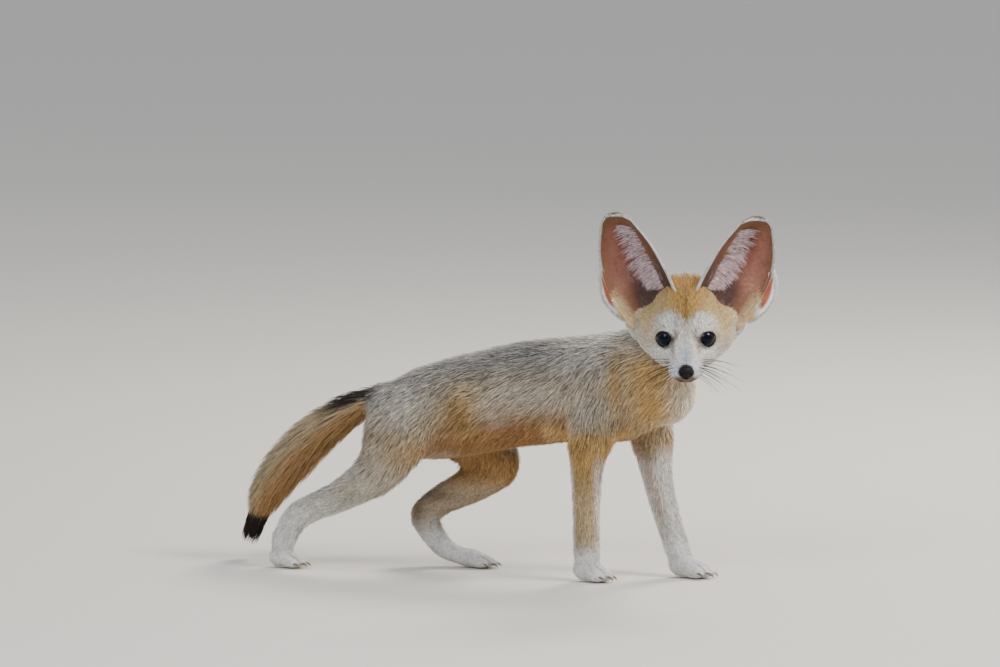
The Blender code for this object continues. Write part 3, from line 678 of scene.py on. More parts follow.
def tufts(name, root, normal, way, tip, depth, width, colours, uv, segments, slot, sunk=0.5):
    """One closed, three-sided, tapered tuft at each root, all in one mesh."""
    count = len(root)
    across = unit(np.cross(normal, way))
    start = root - normal * sunk
    turn = np.array((0.5, 0.5 + 2 / 3, 0.5 + 4 / 3)) * np.pi
    corner = across[:, None] * np.cos(turn)[:, None] + normal[:, None] * 0.6 * np.sin(turn)[:, None]
    rows, shades, softs = [], [], []
    bend = start + (tip - start) * 0.5 + normal * (depth * 0.38)[:, None]
    taper = {1: (1.0,), 2: (0.85, 0.8), 3: (0.8, 1.0, 0.62)}[segments]
    for k in range(segments):
        t = k / segments
        centre = start * (1 - t) ** 2 + 2 * bend * t * (1 - t) + tip * t * t
        rows.append(centre[:, None] + corner * (width * taper[k] / 2)[:, None, None])
        # Painted darker towards the root: partly the hair's own pale tips, partly painted shade deep in the
        # coat
        shades.append(np.full((count, 3), TUFT_SHADES[0] + TUFT_SHADES[1] * t))
        softs.append(normal[:, None] + 0.55 * corner)
    rows.append(tip[:, None])
    shades.append(np.full((count, 1), TUFT_SHADES[2]))
    softs.append(normal[:, None] + 0.15 * way[:, None])
    points = np.concatenate(rows, axis=1)
    per = points.shape[1]
    faces = [(0, 2, 1)]
    for k in range(segments - 1):
        for j in range(3):
            a, b = 3 * k + j, 3 * k + (j + 1) % 3
            faces += [(a, b, b + 3), (a, b + 3, a + 3)]
    last = 3 * (segments - 1)
    faces += [(last + j, last + (j + 1) % 3, per - 1) for j in range(3)]
    faces = np.array(faces)
    tris = (faces[None] + per * np.arange(count)[:, None, None]).reshape(-1, 3)
    tone = colours[:, None, :] * np.concatenate(shades, axis=1)[:, :, None]
    made = piece(name, points.reshape(-1, 3), tris, COAT_MATERIAL, slot, colours=tone.reshape(-1, 3))
    place = np.arange(per)
    spots = uv[:, None, :] + np.column_stack([place // 3, place % 3]) * UV_PATCH / 3
    layer = made.data.uv_layers.new(name="OFBake")
    layer.uv.foreach_set("vector", spots.reshape(-1, 2)[tris.ravel()].astype(np.float32).ravel())
    soft = unit(np.concatenate(softs, axis=1).reshape(-1, 3))
    made.data.normals_split_custom_set_from_vertices(soft.astype(np.float32))


# Materials

def fill(made, inputs):
    """Links or sets a node's inputs, given by name or number."""
    for name, value in inputs.items():
        if isinstance(value, bpy.types.NodeSocket):
            made.id_data.links.new(value, made.inputs[name])
        else:
            made.inputs[name].default_value = value


def new_material(name, roughness):
    material = bpy.data.materials.new(name)
    material.use_nodes = True
    shader = material.node_tree.nodes["Principled BSDF"]
    shader.inputs["Roughness"].default_value = roughness
    return material, shader


def add(shader, kind, output, inputs=None, **settings):
    """One output of a new node in the shader's material."""
    made = shader.id_data.nodes.new("ShaderNode" + kind)
    for name, value in settings.items():
        setattr(made, name, value)
    fill(made, inputs or {})
    return made.outputs[output]


def varied(shader, tone, value, start, end, low, high):
    """Makes the shader's colour a tone times low to high, as a value goes from start to end."""
    scale = add(shader, "MapRange", "Result",
                {"Value": value, "From Min": start, "From Max": end, "To Min": low, "To Max": high})
    toned = add(shader, "VectorMath", "Vector", {0: tone, "Scale": scale}, operation="SCALE")
    fill(shader, {"Base Color": toned})


def noise(shader, size, detail):
    where = add(shader, "TexCoord", "Object")
    return add(shader, "TexNoise", "Fac", {"Vector": where, "Scale": size, "Detail": detail})


def coat_material(name, speckle=0.22, roughness=0.75):
    """The markings and painted light and shade, broken up by fine noise along the coat."""
    material, shader = new_material(name, roughness)
    marking_and_light = add(shader, "VertexColor", "Color", layer_name="MarkingAndPaintedLight")
    varied(shader, marking_and_light, noise(shader, 420, 3), 0.3, 0.7, 1 - speckle, 1 + speckle)
    fill(shader, {"Sheen Weight": 0.04, "Specular IOR Level": 0.16})
    return material


COAT_MATERIAL = coat_material("coat")


# Build the skin and its fields

solid_points, solid_tris, solid_region = flesh()
solid = BVHTree.FromPolygons(solid_points.tolist(), solid_tris.tolist())
points, tris = base_skin()
normals = vertex_normals(points, tris)
edges = edges_of(tris)
found = [solid.find_nearest(p)[2] for p in points.tolist()]
tail_far = along_tail(points)[1]
on_tail = (points[:, 0] < -84) & (tail_far < 13) & (points[:, 2] > 20)
weights = np.zeros((len(points), 7))
weights[np.arange(len(points)), solid_region[np.array(found)]] = 1
soft_weights = smoothed(weights, edges, 14)
lie = unit(smoothed(lie_of(points, normals, soft_weights), edges, 6))
wave = smoothed(rng.normal(0, 1, (len(points), 5)), edges, 36)
wave /= wave.std(axis=0)
on_head, on_paw = soft_weights[:, 2], soft_weights[:, 6]
body_wave = 1 - 0.6 * on_head[:, None]
lie += wave[:, :3] * 0.09 * body_wave
lie = flattened(lie, normals)
measures = smoothed(soft_weights @ np.array(list(COAT.values())), edges, 10)
head_x = to_head(points)
mirrored_x = np.where((False, True, False), np.abs(head_x), head_x)
face = on_head * step(head_x[:, 0], 6, 34)
measures *= 1 - face[:, None] * (0.5, 0.3, 0.05)
crown = on_head * step(-head_x[:, 0], -8, 12)
measures += crown[:, None] * (1.0, 4.0, 0.15)
ruff = on_head * np.clip(spot(mirrored_x, (-14, 42, -4), (15, 12, 16)), 0, 1)
measures += ruff[:, None] * (1.6, 4.5, 0.1)
by_eye = on_head * np.clip(2.2 - off_eye(head_x), 0, 1)
measures[:, 0] *= 1 - 0.75 * by_eye
measures[on_tail, 0] = 0.1
short = step(points[:, 1], 4, 12) * step(-normals[:, 1], -0.2, 0.5) * step(60 - points[:, 0], 0, 20)
measures *= 1 - (short * step(112 - points[:, 2], 0, 14))[:, None] * (0.35, 0.42, 0.2)
colours = mix(body_colours(points, normals, soft_weights), head_colours(points), on_head)
colours *= 1 + 0.06 * wave[:, 3:4] * body_wave
colours[on_tail] = tail_colours(points[on_tail], normals[on_tail])
toe_gaps = between_toes(points) * on_paw
# Painted shade: the grooves between the toes are painted darker
colours *= 1 - 0.45 * toe_gaps[:, None]
skin_points = points - normals * (measures[:, :1] + 1.5 * toe_gaps[:, None])
skin_points = open_lids(smoothed(skin_points, edges, 2))
skin_points[:, 2] = np.maximum(skin_points[:, 2], 0.4)

skin = new_mesh("skin", skin_points, tris)
# The skin under the coat is painted darker, as painted shade between the tufts
paint(skin, colours * SKIN_PAINTED_SHADE)
skin.data.materials.append(COAT_MATERIAL)
bpy.context.view_layer.objects.active = skin
skin.select_set(True)
skin.data.uv_layers.new(name="OFBake")
bpy.ops.object.mode_set(mode="EDIT")
bpy.ops.mesh.select_all(action="SELECT")
bpy.ops.uv.smart_project(angle_limit=math.radians(70), island_margin=0.004)
bpy.ops.object.mode_set(mode="OBJECT")
settle(skin, "coat", *(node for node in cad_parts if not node.startswith(("eye", "ear", "nose"))))

skin_uv = np.empty(len(tris) * 6, np.float32)
skin.data.uv_layers["OFBake"].uv.foreach_get("vector", skin_uv)
skin_uv = skin_uv.reshape(-1, 3, 2)
skin_normals = vertex_normals(skin_points, tris)
skin_tree = BVHTree.FromPolygons(skin_points.tolist(), tris.tolist())


def sample(weight, count):
    """Roots spread over the skin by area times weight: triangle and share of each corner."""
    a, b, c = (skin_points[tris[:, k]] for k in range(3))
    area = np.linalg.norm(np.cross(b - a, c - a), axis=1) / 2
    chance = area * weight[tris].mean(axis=1)
    pick = rng.choice(len(tris), count, p=chance / chance.sum())
    r, s = np.sqrt(rng.random(count)), rng.random(count)
    return pick, np.column_stack([1 - r, r * (1 - s), r * s])


def blend(field, pick, share):
    return (field[tris[pick]] * share[:, :, None]).sum(axis=1)


def coat(name, weight, count, segments, slot, stretch, thick, stray, spread):
    """Tufts over part of the skin, in pieces of at most PIECE_LIMIT triangles."""
    pick, share = sample(weight, count)
    root, normal = blend(skin_points, pick, share), unit(blend(skin_normals, pick, share))
    way = flattened(blend(lie, pick, share) + rng.normal(0, 0.11, (count, 3)), normal)
    depth, length, width = blend(measures, pick, share).T
    length = length * stretch * rng.uniform(0.7, 1.2, count)
    width = width * thick * rng.uniform(0.75, 1.25, count)
    depth = np.minimum(depth * rng.uniform(0.65, stray, count), 0.6 * length)
    near = [skin_tree.find_nearest(aim)[:2] for aim in (root + way * length[:, None]).tolist()]
    reach = np.array([where + out * float(d) for (where, out), d in zip(near, depth)]) - root
    tip = root + reach * np.minimum(1, length / np.maximum(np.linalg.norm(reach, axis=1), 1e-6))[:, None]
    tip[:, 2] = np.maximum(tip[:, 2], 0.3)
    tone = blend(colours, pick, share) * rng.normal(1, spread, (count, 1)).clip(0.5, 1.5)
    above = step(normal[:, 2], -0.5, 0.6) * blend(weights_torso, pick, share)[:, 0]
    grizzle = rng.random(count) < GRIZZLE_SHARE * above
    tone[grizzle & (root[:, 0] < rng.uniform(120, 175, count))] *= GRIZZLE_SHADE
    tone[rng.random(count) < 0.09 * face_streaks(root)] *= 0.38
    uv = (skin_uv[pick] * share[:, :, None]).sum(axis=1)
    pieces = math.ceil(count * TUFT_FACES[segments] / PIECE_LIMIT)
    for k in range(pieces):
        part = slice(k * count // pieces, (k + 1) * count // pieces)
        tufts(f"{name}_{k}", root[part], normal[part], way[part], tip[part], depth[part], width[part],
              tone[part], uv[part], segments, slot)


def face_streaks(p):
    """Where single dark hairs stand among the pale ones of the forehead."""
    h = to_head(p)
    forehead = 5 * spot(h, (10, 0, 28), (16, 7, 16))
    return forehead + spot(np.where((False, True, False), np.abs(h), h), (20, 10, 18), (9, 10, 7))


weights_torso = soft_weights[:, [0, 1, 3, 4]].sum(axis=1, keepdims=True)
quick = 1.0
clear_tail = (~on_tail).astype(float)
eye_clear = step(off_eye(to_head(skin_points)), 1.12, 1.3)
eye_clear *= step(np.linalg.norm(head_x - np.array(NOSE_AT) - (1, 0, 0), axis=1), 5.0, 6.4)
mouth_line = curve(MOUTH, 5)
mouth_far = ((mirrored_x[:, None, :] - mouth_line[None]) ** 2).sum(axis=2).min(axis=1)
eye_clear *= 0.1 + 0.9 * step(np.sqrt(mouth_far), 1.0, 2.0)
trunk = clear_tail * soft_weights[:, :2].sum(axis=1)
limb = clear_tail * soft_weights[:, 3:6].sum(axis=1)
paws, head = clear_tail * on_paw, on_head * eye_clear
back_head = step(-head_x[:, 0], -14, 4)
# Each coat: name, where, tufts, segments, slot, and shares of length and width, stray and spread
for name, weight, count, *shape in (
    ("coat_trunk", trunk, 26000, 2, "coat", 1.1, 0.95, 1.35, 0.27),
    ("coat_trunk_fine", trunk, 52000, 1, "coat", 0.8, 0.76, 1.15, 0.3),
    ("coat_limb", limb, 20000, 2, "leg_coat", 1.1, 0.95, 1.6, 0.18),
    ("coat_limb_fine", limb, 20000, 1, "leg_coat", 0.85, 0.8, 1.3, 0.24),
    ("coat_paw", paws, 12000, 1, "leg_coat", 1.0, 1.0, 1.3, 0.1),
    ("coat_face", head * (1 - 0.7 * back_head), 42000, 1, "face_coat", 1.0, 1.0, 1.3, 0.25),
    ("coat_crown", head * (0.25 + back_head), 13000, 2, "face_coat", 1.0, 1.0, 1.25, 0.22),
):
    coat(name, weight, int(count * quick), *shape)


# The tail's brush

def brush():
    rows = through(TAIL, 6)
    at = np.concatenate([[0], np.cumsum(np.linalg.norm(np.diff(rows[:, :3], axis=0), axis=1))])
    rows = np.column_stack([rows, unit(np.gradient(rows[:, :3], at, axis=0))])
    length = at[-1]
    count = int(BRUSH_TUFTS * quick)

    def around(reach, turn):
        """The tail's line at a reach from its root, its way and radius, and the way out at a turn."""
        inside = np.minimum(reach, length)
        row = np.column_stack([np.interp(inside, at, column) for column in rows.T])
        way = unit(row[:, 4:])
        lateral = unit(np.array((0, 1.0, 0)) - way * way[:, 1:2])
        out = lateral * np.cos(turn)[:, None] + np.cross(way, lateral) * np.sin(turn)[:, None]
        return row[:, :3] + way * (reach - inside)[:, None], way, row[:, 3], out

    start = length * rng.random(count) ** 0.9 * 0.95
    turn = rng.uniform(0, 2 * np.pi, count)
    size = rng.uniform(24, 40, count) * np.interp(start / length, (0, 0.2, 1), (0.55, 1, 0.85))
    size = np.minimum(size, length * 1.12 - start)
    centre, way, radius, out = around(start, turn)
    end, _, end_radius, end_out = around(start + size, turn + rng.normal(0, 0.12, count))
    root = centre + out * (radius * 0.36)[:, None]
    tip = end + end_out * (end_radius * rng.uniform(0.55, 1.0, count))[:, None]
    tip[:, 2] = np.maximum(tip[:, 2], 4)
    tone = tail_colours(end * 0.6 + root * 0.4 + out * 2, out)
    tone = tone * rng.normal(1, 0.12, (count, 1)).clip(0.7, 1.3)
    spots = [skin_tree.find_nearest(p)[2] for p in root.tolist()]
    uv = skin_uv[np.array(spots)].mean(axis=1)
    width = rng.uniform(0.9, 1.5, count)
    tufts("tail_brush", root, out, way, tip, radius * 0.75, width, tone, uv, 3, "tail_coat")


brush()


# Ears

EAR_INNER = srgb(116, 78, 56)
EAR_FLESH = srgb(126, 64, 60)
# Painted shade in the ear's hollows: at its root, in a band inside its near edge and in the deeper side of
# the lobe's pocket
EAR_HOLLOW_SHADE = srgb(70, 50, 46)
EAR_POCKET = srgb(160, 92, 72)
EAR_STREAK = srgb(238, 214, 222)
EAR_BACK_TONE = srgb(192, 162, 118)
EAR_FUR = srgb(196, 168, 128)


def ear_rows():
    """The ear's rows, closed to a round tip."""
    rows = through(EAR, 8)
    tip = rows[-1]
    middle = (tip[:3] + tip[3:6]) / 2
    for share, rise in ((0.12, 0.5), (0.3, 0.9), (0.55, 1.2), (0.85, 1.35)):
        end = tip.copy()
        lift = np.array((-0.15, 0.05, 1.0)) * rise
        end[:3] = tip[:3] + (middle - tip[:3]) * share + lift
        end[3:6] = tip[3:6] + (middle - tip[3:6]) * share + lift
        end[6] = tip[6] * (1 - share)
        rows = np.vstack([rows, end])
    return rows


def mirrored(points, side):
    points = np.array(points, float)
    points[..., 1] *= side
    above = np.maximum(points[..., 2] - 20, 0)
    points[..., 2] -= above * (1 - EAR_SHORTER[side])
    return points


def ear_grid(side, wide=48):
    """The ear's sheet as a grid of points and the way it faces backwards."""
    rows = ear_rows()
    v = np.linspace(0, 1, wide + 1)
    apart = unit(rows[:, 3:6] - rows[:, :3]) * np.sin(np.linspace(0.35, 2.85, len(rows)))[:, None]
    rows[:, :3] -= apart * EAR_WIDER[side][0]
    rows[:, 3:6] += apart * EAR_WIDER[side][1]
    near, far, depth = rows[:, None, :3], rows[:, None, 3:6], rows[:, None, 6:7]
    back = np.array(EAR_BACK) / np.linalg.norm(EAR_BACK)
    grid = near + (far - near) * v[None, :, None] + back * depth * (np.sin(np.pi * v) ** 0.85)[None, :, None]
    grid = mirrored(grid, side)
    outward = unit(np.cross(np.gradient(grid, axis=1), np.gradient(grid, axis=0)))
    outward *= np.sign((outward.reshape(-1, 3) @ (np.array(EAR_BACK) * (1, side, 1))).mean())
    outward[-5:] = outward[-6]
    return grid, outward


def grid_tris(tall, wide):
    index = np.arange(tall * wide).reshape(tall, wide)
    return split(index[:-1, :-1], index[:-1, 1:], index[1:, 1:], index[1:, :-1])


def facing_out(points, tris):
    a, b, c = (points[tris[:, k]] - points.mean(axis=0) for k in range(3))
    return tris if np.einsum("ij,ij->i", np.cross(a, b), c).sum() > 0 else tris[:, ::-1]


def ear_shell(grid, outward):
    """A closed shell round the sheet, thin at its rim."""
    tall, wide = grid.shape[:2]
    height = np.linspace(0, 1, tall)[:, None, None]
    edge = np.sin(np.pi * np.linspace(0, 1, wide))[None, :, None]
    thick = (2.3 - 1.2 * height) * (0.4 + 0.6 * np.sqrt(edge))
    half = outward * thick / 2
    points = np.concatenate([(grid - half).reshape(-1, 3), (grid + half).reshape(-1, 3)])
    count = tall * wide
    faces = grid_tris(tall, wide)
    low, right = np.arange(wide), np.arange(1, tall) * wide + wide - 1
    high, left = (tall - 1) * wide + np.arange(wide - 2, -1, -1), np.arange(tall - 2, 0, -1) * wide
    ring = np.concatenate([low, right, high, left])
    after = np.roll(ring, -1)
    seam = np.concatenate([
        np.stack([ring, after, after + count], -1),
        np.stack([ring, after + count, ring + count], -1),
    ])
    return points, facing_out(points, np.concatenate([faces, faces[:, ::-1] + count, seam[:, ::-1]]))


def inner_colours(u, v):
    """The ear's inner face: u from root to tip, v from the near edge to the far one."""
    near, far = step(-v, -0.035, -0.012) * step(u, 0.1, 0.18), step(v, 0.965, 0.988) * step(u, 0.42, 0.5)
    return layered(
        EAR_INNER,
        (EAR_FLESH, 0.7 * hump(v, 0.55, 0.2) * hump(u, 0.42, 0.25)),
        (srgb(160, 108, 94), 0.7 * hump(v, 0.76, 0.15) * hump(u, 0.5, 0.2)),
        (srgb(168, 112, 98), 0.5 * hump(v, 0.8, 0.12) * hump(u, 0.28, 0.12)),
        (EAR_HOLLOW_SHADE, 0.9 * step(-u - 0.3 * (v - 0.4), -0.42, -0.2) * (1 - step(v, 0.66, 0.84))),
        (EAR_HOLLOW_SHADE, 0.55 * hump(v, 0.08, 0.06) * (1 - step(u, 0.7, 0.95))),
        (srgb(128, 96, 72), 0.65 * step(u, 0.55, 0.85)),
        (EAR_FUR, 0.6 * step(v, 0.84, 0.96) * (1 - step(u, 0.2, 0.3))),
        # White edges and tip: partly the ear's own white fringe, partly painted rim light
        (WHITE, 0.95 * np.clip(near + far + step(u, 0.972, 0.99), 0, 1)),
    )


def back_rim(u, v):
    """Where the back of the ear is painted white at its edges and tip: partly its own pale fringe, partly
    painted rim light.
    """
    sides = step(0.5 - v, 0.38, 0.5) * step(u, 0.08, 0.16) + step(v - 0.5, 0.38, 0.5) * step(u, 0.34, 0.46)
    return np.clip(sides + step(u, 0.84, 0.94), 0, 1)


def lobe(side):
    """The lobe behind the ear's far edge: a flat tube with a reddish pocket in front."""
    rows = np.array(EAR_LOBE, float)
    across = np.array(EAR_LOBE_ACROSS)
    wider = EAR_LOBE_WIDER[side] * np.sin(np.linspace(0.5, 2.9, len(rows)))
    rows[:, :3] += across * wider[:, None]
    rows[:, 3] += wider
    rows[:, :3] += np.array((-0.15, 0.9, -0.3)) * EAR_WIDER[side][1] * 0.8
    rows[:, :3] = mirrored(rows[:, :3], side)
    rows = through(rows, 5)
    across = across * (1, side, 1)
    sides = 20
    points, tris = tube(rows[:, :3], np.ones(len(rows)), sides, across)
    ring = points.reshape(len(rows), sides, 3) - rows[:, None, :3]
    ahead = unit(np.gradient(rows[:, :3], axis=0))
    lateral = unit(across - ahead * (ahead @ across)[:, None])
    other = np.cross(ahead, lateral)
    wide = (ring * lateral[:, None]).sum(axis=2)
    deep = (ring * other[:, None]).sum(axis=2)
    front = np.sign((other @ np.array((1.0, 0, 0))).mean())
    facing = deep * front
    dent = np.where(facing > 0, -0.6, 1.0)
    shape = rows[:, None, :3] + lateral[:, None] * (wide * rows[:, 3:4])[:, :, None]
    shape = shape + other[:, None] * (deep * dent * rows[:, 4:5])[:, :, None]
    along = np.linspace(0, 1, len(rows))[:, None] + 0 * wide
    pocket = step(facing, 0.0, 0.3) * (1 - step(wide, 0.42, 0.66)) * step(along, 0.2, 0.32)
    tone = layered(
        WHITE,
        (EAR_POCKET, (pocket * (1 - step(along, 0.78, 0.95))).ravel()),
        (EAR_HOLLOW_SHADE, 0.5 * (pocket * step(-wide, 0.2, 0.8)).ravel()),
        (EAR_FUR, (1 - step(along, 0.1, 0.26)).ravel()),
    )
    return shape.reshape(-1, 3), tris, tone, (shape[:, 0], lateral, ahead)


def ear_material():
    """The ear's thin skin: its markings, painted shade and painted rim light under fine veins and mottling.
    """
    material = coat_material("ear_skin", 0.12, 0.55)
    shader = material.node_tree.nodes["Principled BSDF"]
    fill(shader, {"Subsurface Weight": 0.15, "Subsurface Radius": (0.004, 0.0015, 0.001)})
    mottled = shader.inputs["Base Color"].links[0].from_socket
    where = add(shader, "TexCoord", "Object")
    warp = add(shader, "TexNoise", "Color", {"Vector": where, "Scale": 55})
    push = {0: warp, 1: (0.03, 0.03, 0.03), 2: where}
    pushed = add(shader, "VectorMath", "Vector", push, operation="MULTIPLY_ADD")
    veins = add(shader, "TexVoronoi", "Distance", {"Vector": pushed, "Scale": 70}, feature="DISTANCE_TO_EDGE")
    varied(shader, mottled, veins, 0, 0.06, 0.82, 1)
    return material


EAR_MATERIAL = ear_material()


def ear(side, name):
    grid, outward = ear_grid(side)
    tall, wide = grid.shape[:2]
    points, tris = ear_shell(grid, outward)
    u = np.repeat(np.linspace(0, 1, tall), wide)
    v = np.tile(np.linspace(0, 1, wide), tall)
    lobe_points, lobe_tris, lobe_tone, fringe = lobe(side)
    tone = np.concatenate([inner_colours(u, v), mix(EAR_BACK_TONE, WHITE, back_rim(u, v)), lobe_tone])
    points, tris = joined([(points, tris), (lobe_points, facing_out(lobe_points, lobe_tris))])
    piece(name, from_head(points), tris, EAR_MATERIAL, "ear_coat", name, colours=tone)
    ear_hair(name, grid, outward, fringe)


def ear_hair(name, grid, outward, fringe):
    """Fringes of the rims, pale streaks inside and short coat on the back."""
    tall, wide = grid.shape[:2]
    du, dv = unit(np.gradient(grid, axis=0)), unit(np.gradient(grid, axis=1))
    sets = {1: [], 2: []}

    def cells(i, j):
        return np.clip(i, 0, tall - 1).astype(int), np.clip(j, 0, wide - 1).astype(int)

    def grow(segments, u, v, face, lean, size, depth, width, tone, lift=0.5, rim=0.0, span=None):
        """Hair rooted at u, v; lean gives its way as shares of du and dv, or span the place it aims at."""
        i, j = cells(u * (tall - 1), v * (wide - 1))
        n, along, one = outward[i, j] * face, du[np.minimum(i, tall - 8), j], np.ones(len(u))
        w = unit(unit(lean[0] * along + lean[1] * dv[i, j]) + rng.normal(0, 0.13, n.shape))
        w = unit(w - n * (w * n).sum(axis=1, keepdims=True) * 0.85)
        if span is not None:
            aim = cells(i + span[0] * (tall - 1), j + span[1] * (wide - 1))
            w = unit(grid[aim] + outward[aim] * face * 1.5 - grid[i, j] + rng.normal(0, 0.6, w.shape))
        up = grid[np.minimum(i + 1, tall - 1), j] - grid[i, j]
        across = grid[i, np.minimum(j + 1, wide - 1)] - grid[i, j]
        root = grid[i, j] + up * (u * (tall - 1) - i)[:, None] + n * lift
        root += across * (v * (wide - 1) - j)[:, None]
        rim = (rim * one)[:, None]
        n = unit(n * (1 - np.abs(rim)) + dv[i, j] * rim + along * 2.5 * step(u, 0.86, 0.95)[:, None])
        tone = tone * rng.normal(1, 0.11, (len(u), 1)).clip(0.75, 1.25)
        uv = np.column_stack([(0.02 if face < 0 else 0.52) + 0.44 * v, 0.02 + 0.94 * u])
        sets[segments].append((root, n, w, size * one, depth * one, width * one, tone, uv))

    def many(count):
        return rng.random(int(count * quick))

    u = many(7000) * 0.95
    v = 0.04 + rng.random(len(u)) * 0.92
    tone = mix(EAR_BACK_TONE, WHITE, back_rim(u, v))
    size = rng.uniform(3.5, 6.5, len(u)) * np.minimum(1, 0.25 + 4 * (0.98 - u))
    side_on = np.sign(v - 0.5) * step(np.abs(v - 0.5), 0.3, 0.46) * 0.9
    grow(1, u, v, 1, (1, 0), size, 0.9 * np.minimum(1, 0.3 + 5 * (1 - u)), 0.6, tone, rim=side_on)
    u = many(4500) * 0.97
    v = rng.random(len(u))
    size = rng.uniform(2.0, 3.6, len(u))
    grow(1, u, v, -1, (1, 0.15), size, 0.25, 0.34, inner_colours(u, v) * 1.1)
    for edge, inward, low in ((0, 1, 0.1), (1, -1, 0.45)):
        u = low + many(3800) * (1 - low)
        v = np.abs(edge - rng.random(len(u)) ** 1.5 * 0.04)
        size = rng.uniform(3.0, 5.6, len(u)) * (1 - 0.62 * u)
        grow(1, u, v, -1, (1, -0.32 * inward), size, 0.6, 0.5, WHITE, 0.4, -0.8 * inward)
        u = low + many(1500) * (1 - low)
        v = np.abs(edge - rng.random(len(u)) * 0.03)
        size = rng.uniform(2.5, 4, len(u)) * (1 - 0.55 * u)
        grow(1, u, v, 1, (1, -0.5 * inward), size, 0.4, 0.5, WHITE, 0.4, -0.92 * inward)
    u = 1 - many(900) * 0.06
    v = rng.random(len(u))
    grow(1, u, v, -1, (1, (v - 0.5)[:, None] * 1.2), rng.uniform(0.9, 1.7, len(u)), 0.3, 0.5, WHITE)
    u = 0.17 + many(1300) ** 1.3 * 0.47
    v = rng.random(len(u)) ** 1.2 * 0.26 + 0.16
    turn = np.interp(u, (0.2, 0.45, 0.7), (-0.7, -0.25, 0.3))
    size = rng.uniform(5, 16, len(u)) * (1 - 0.45 * u) * (0.5 + 0.5 * step(u, 0.15, 0.4))
    pale = rng.random(len(u)) ** 1.4 * 0.9
    tone = mix(EAR_STREAK, EAR_INNER, pale * step(pale, 0.1, 0.6))
    grow(2, u, v, -1, (0, 1), size, 1.4, 0.5, tone, span=(turn * size / 85, size / 40))
    u = many(700) * 0.36
    v = rng.random(len(u)) * 0.6 + 0.1
    grow(2, u, v, -1, (1, 0.2), rng.uniform(5, 10, len(u)), 1.6, 0.45, srgb(134, 108, 98))
    u = 0.06 + many(1500) * 0.2
    v = 0.5 + rng.random(len(u)) ** 0.7 * 0.5
    tone = mix(EAR_FUR, GOLD, rng.random(len(u)) * 0.6)
    grow(1, u, v, -1, (1, 0.5), rng.uniform(5, 9, len(u)), 1.2, 0.6, tone)
    u = many(1100) * 0.24
    v = 1 - rng.random(len(u)) ** 1.4 * 0.14
    tone = mix(EAR_FUR, WHITE, step(u, 0.12, 0.22) * 0.6)
    grow(1, u, v, -1, (1, 0.55), rng.uniform(4, 8, len(u)) * (1 - u), 1.0, 0.6, tone, 0.4, 0.3)
    u = many(1000) * 0.24
    v = 1 - rng.random(len(u)) ** 1.2 * 0.2
    tone = mix(EAR_FUR, WHITE, step(u, 0.12, 0.22) * 0.5)
    grow(1, u, v, 1, (1, 0.6), rng.uniform(4, 8, len(u)) * (1 - u), 1.2, 0.6, tone, 0.4, 0.7)
    edge, lateral, ahead = fringe
    pick = rng.integers(0, len(edge), int(1300 * quick))
    along = ahead[pick] * rng.uniform(-0.6, 0.6, (len(pick), 1))
    way = unit(ahead[pick] * 0.9 + lateral[pick] * 0.5 + rng.normal(0, 0.14, (len(pick), 3)))
    n = unit(lateral[pick] + np.array((0.9, 0, 0.2)) + rng.normal(0, 0.2, (len(pick), 3)))
    one = np.ones(len(pick))
    uv = np.column_stack([0.47 + 0.02 * rng.random(len(pick)), pick / len(edge)])
    tone = WHITE * rng.normal(1, 0.06, (len(pick), 1))
    root = edge[pick] + along - lateral[pick] * rng.uniform(0, 0.8, (len(pick), 1))
    sets[1].append((root, n, way, rng.uniform(2.4, 4.5, len(pick)), 0.5 * one, 0.5 * one, tone, uv))
    for segments, made in sets.items():
        root, n, way, size, depth, width, tone, uv = (np.concatenate(q) for q in zip(*made))
        tip = root + way * size[:, None] + n * (depth * 0.4)[:, None]
        n, way = n @ HEAD[:3, :3].T, way @ HEAD[:3, :3].T
        tufts(f"{name}_hair_{segments}", from_head(root), n, way, from_head(tip), depth, width, tone, uv,
              segments, "ear_coat", 0.3)


for side, name in ((1, "ear_left"), (-1, "ear_right")):
    ear(side, name)


# Eyes, nose, mouth, claws and whiskers

def eye_material():
    """A dark brown iris round a black pupil under a clear wet layer."""
    material, shader = new_material("eye", 0.05)
    # Painted reflection: the blue specular tint makes the eye's reflections look like a blue sky
    fill(shader, {"Specular IOR Level": 0.22, "Specular Tint": (0.25, 0.5, 1.0, 1),
                  "Coat Weight": 0.12, "Coat IOR": 1.35, "Coat Roughness": 0.015})
    marking_and_light = add(shader, "VertexColor", "Color", layer_name="MarkingAndPaintedLight")
    varied(shader, marking_and_light, noise(shader, 900, 4), 0, 1, 0.6, 1.5)
    return material


def skin_material(name, tone, roughness, bump, size):
    """Bare dark skin with a fine pebbled surface."""
    material, shader = new_material(name, roughness)
    where = add(shader, "TexCoord", "Object")
    cells = add(shader, "TexVoronoi", "Distance", {"Vector": where, "Scale": size})
    varied(shader, tuple(tone), cells, 0, 1, 0.65, 1.35)
    pebbles = add(shader, "Bump", "Normal", {"Strength": bump, "Distance": 0.0004, "Height": cells})
    fill(shader, {"Specular IOR Level": 0.16, "Normal": pebbles})
    return material


EYE_MATERIAL = eye_material()
NOSE_MATERIAL = skin_material("nose_skin", srgb(18, 11, 13), 0.34, 0.5, 1500)
LID_MATERIAL = skin_material("lid_skin", srgb(30, 24, 22), 0.4, 0.3, 1800)
CLAW_MATERIAL = skin_material("claw_horn", srgb(124, 106, 90), 0.45, 0.2, 900)
WHISKER_MATERIAL = skin_material("whisker_hair", srgb(40, 32, 28), 0.5, 0.1, 1200)


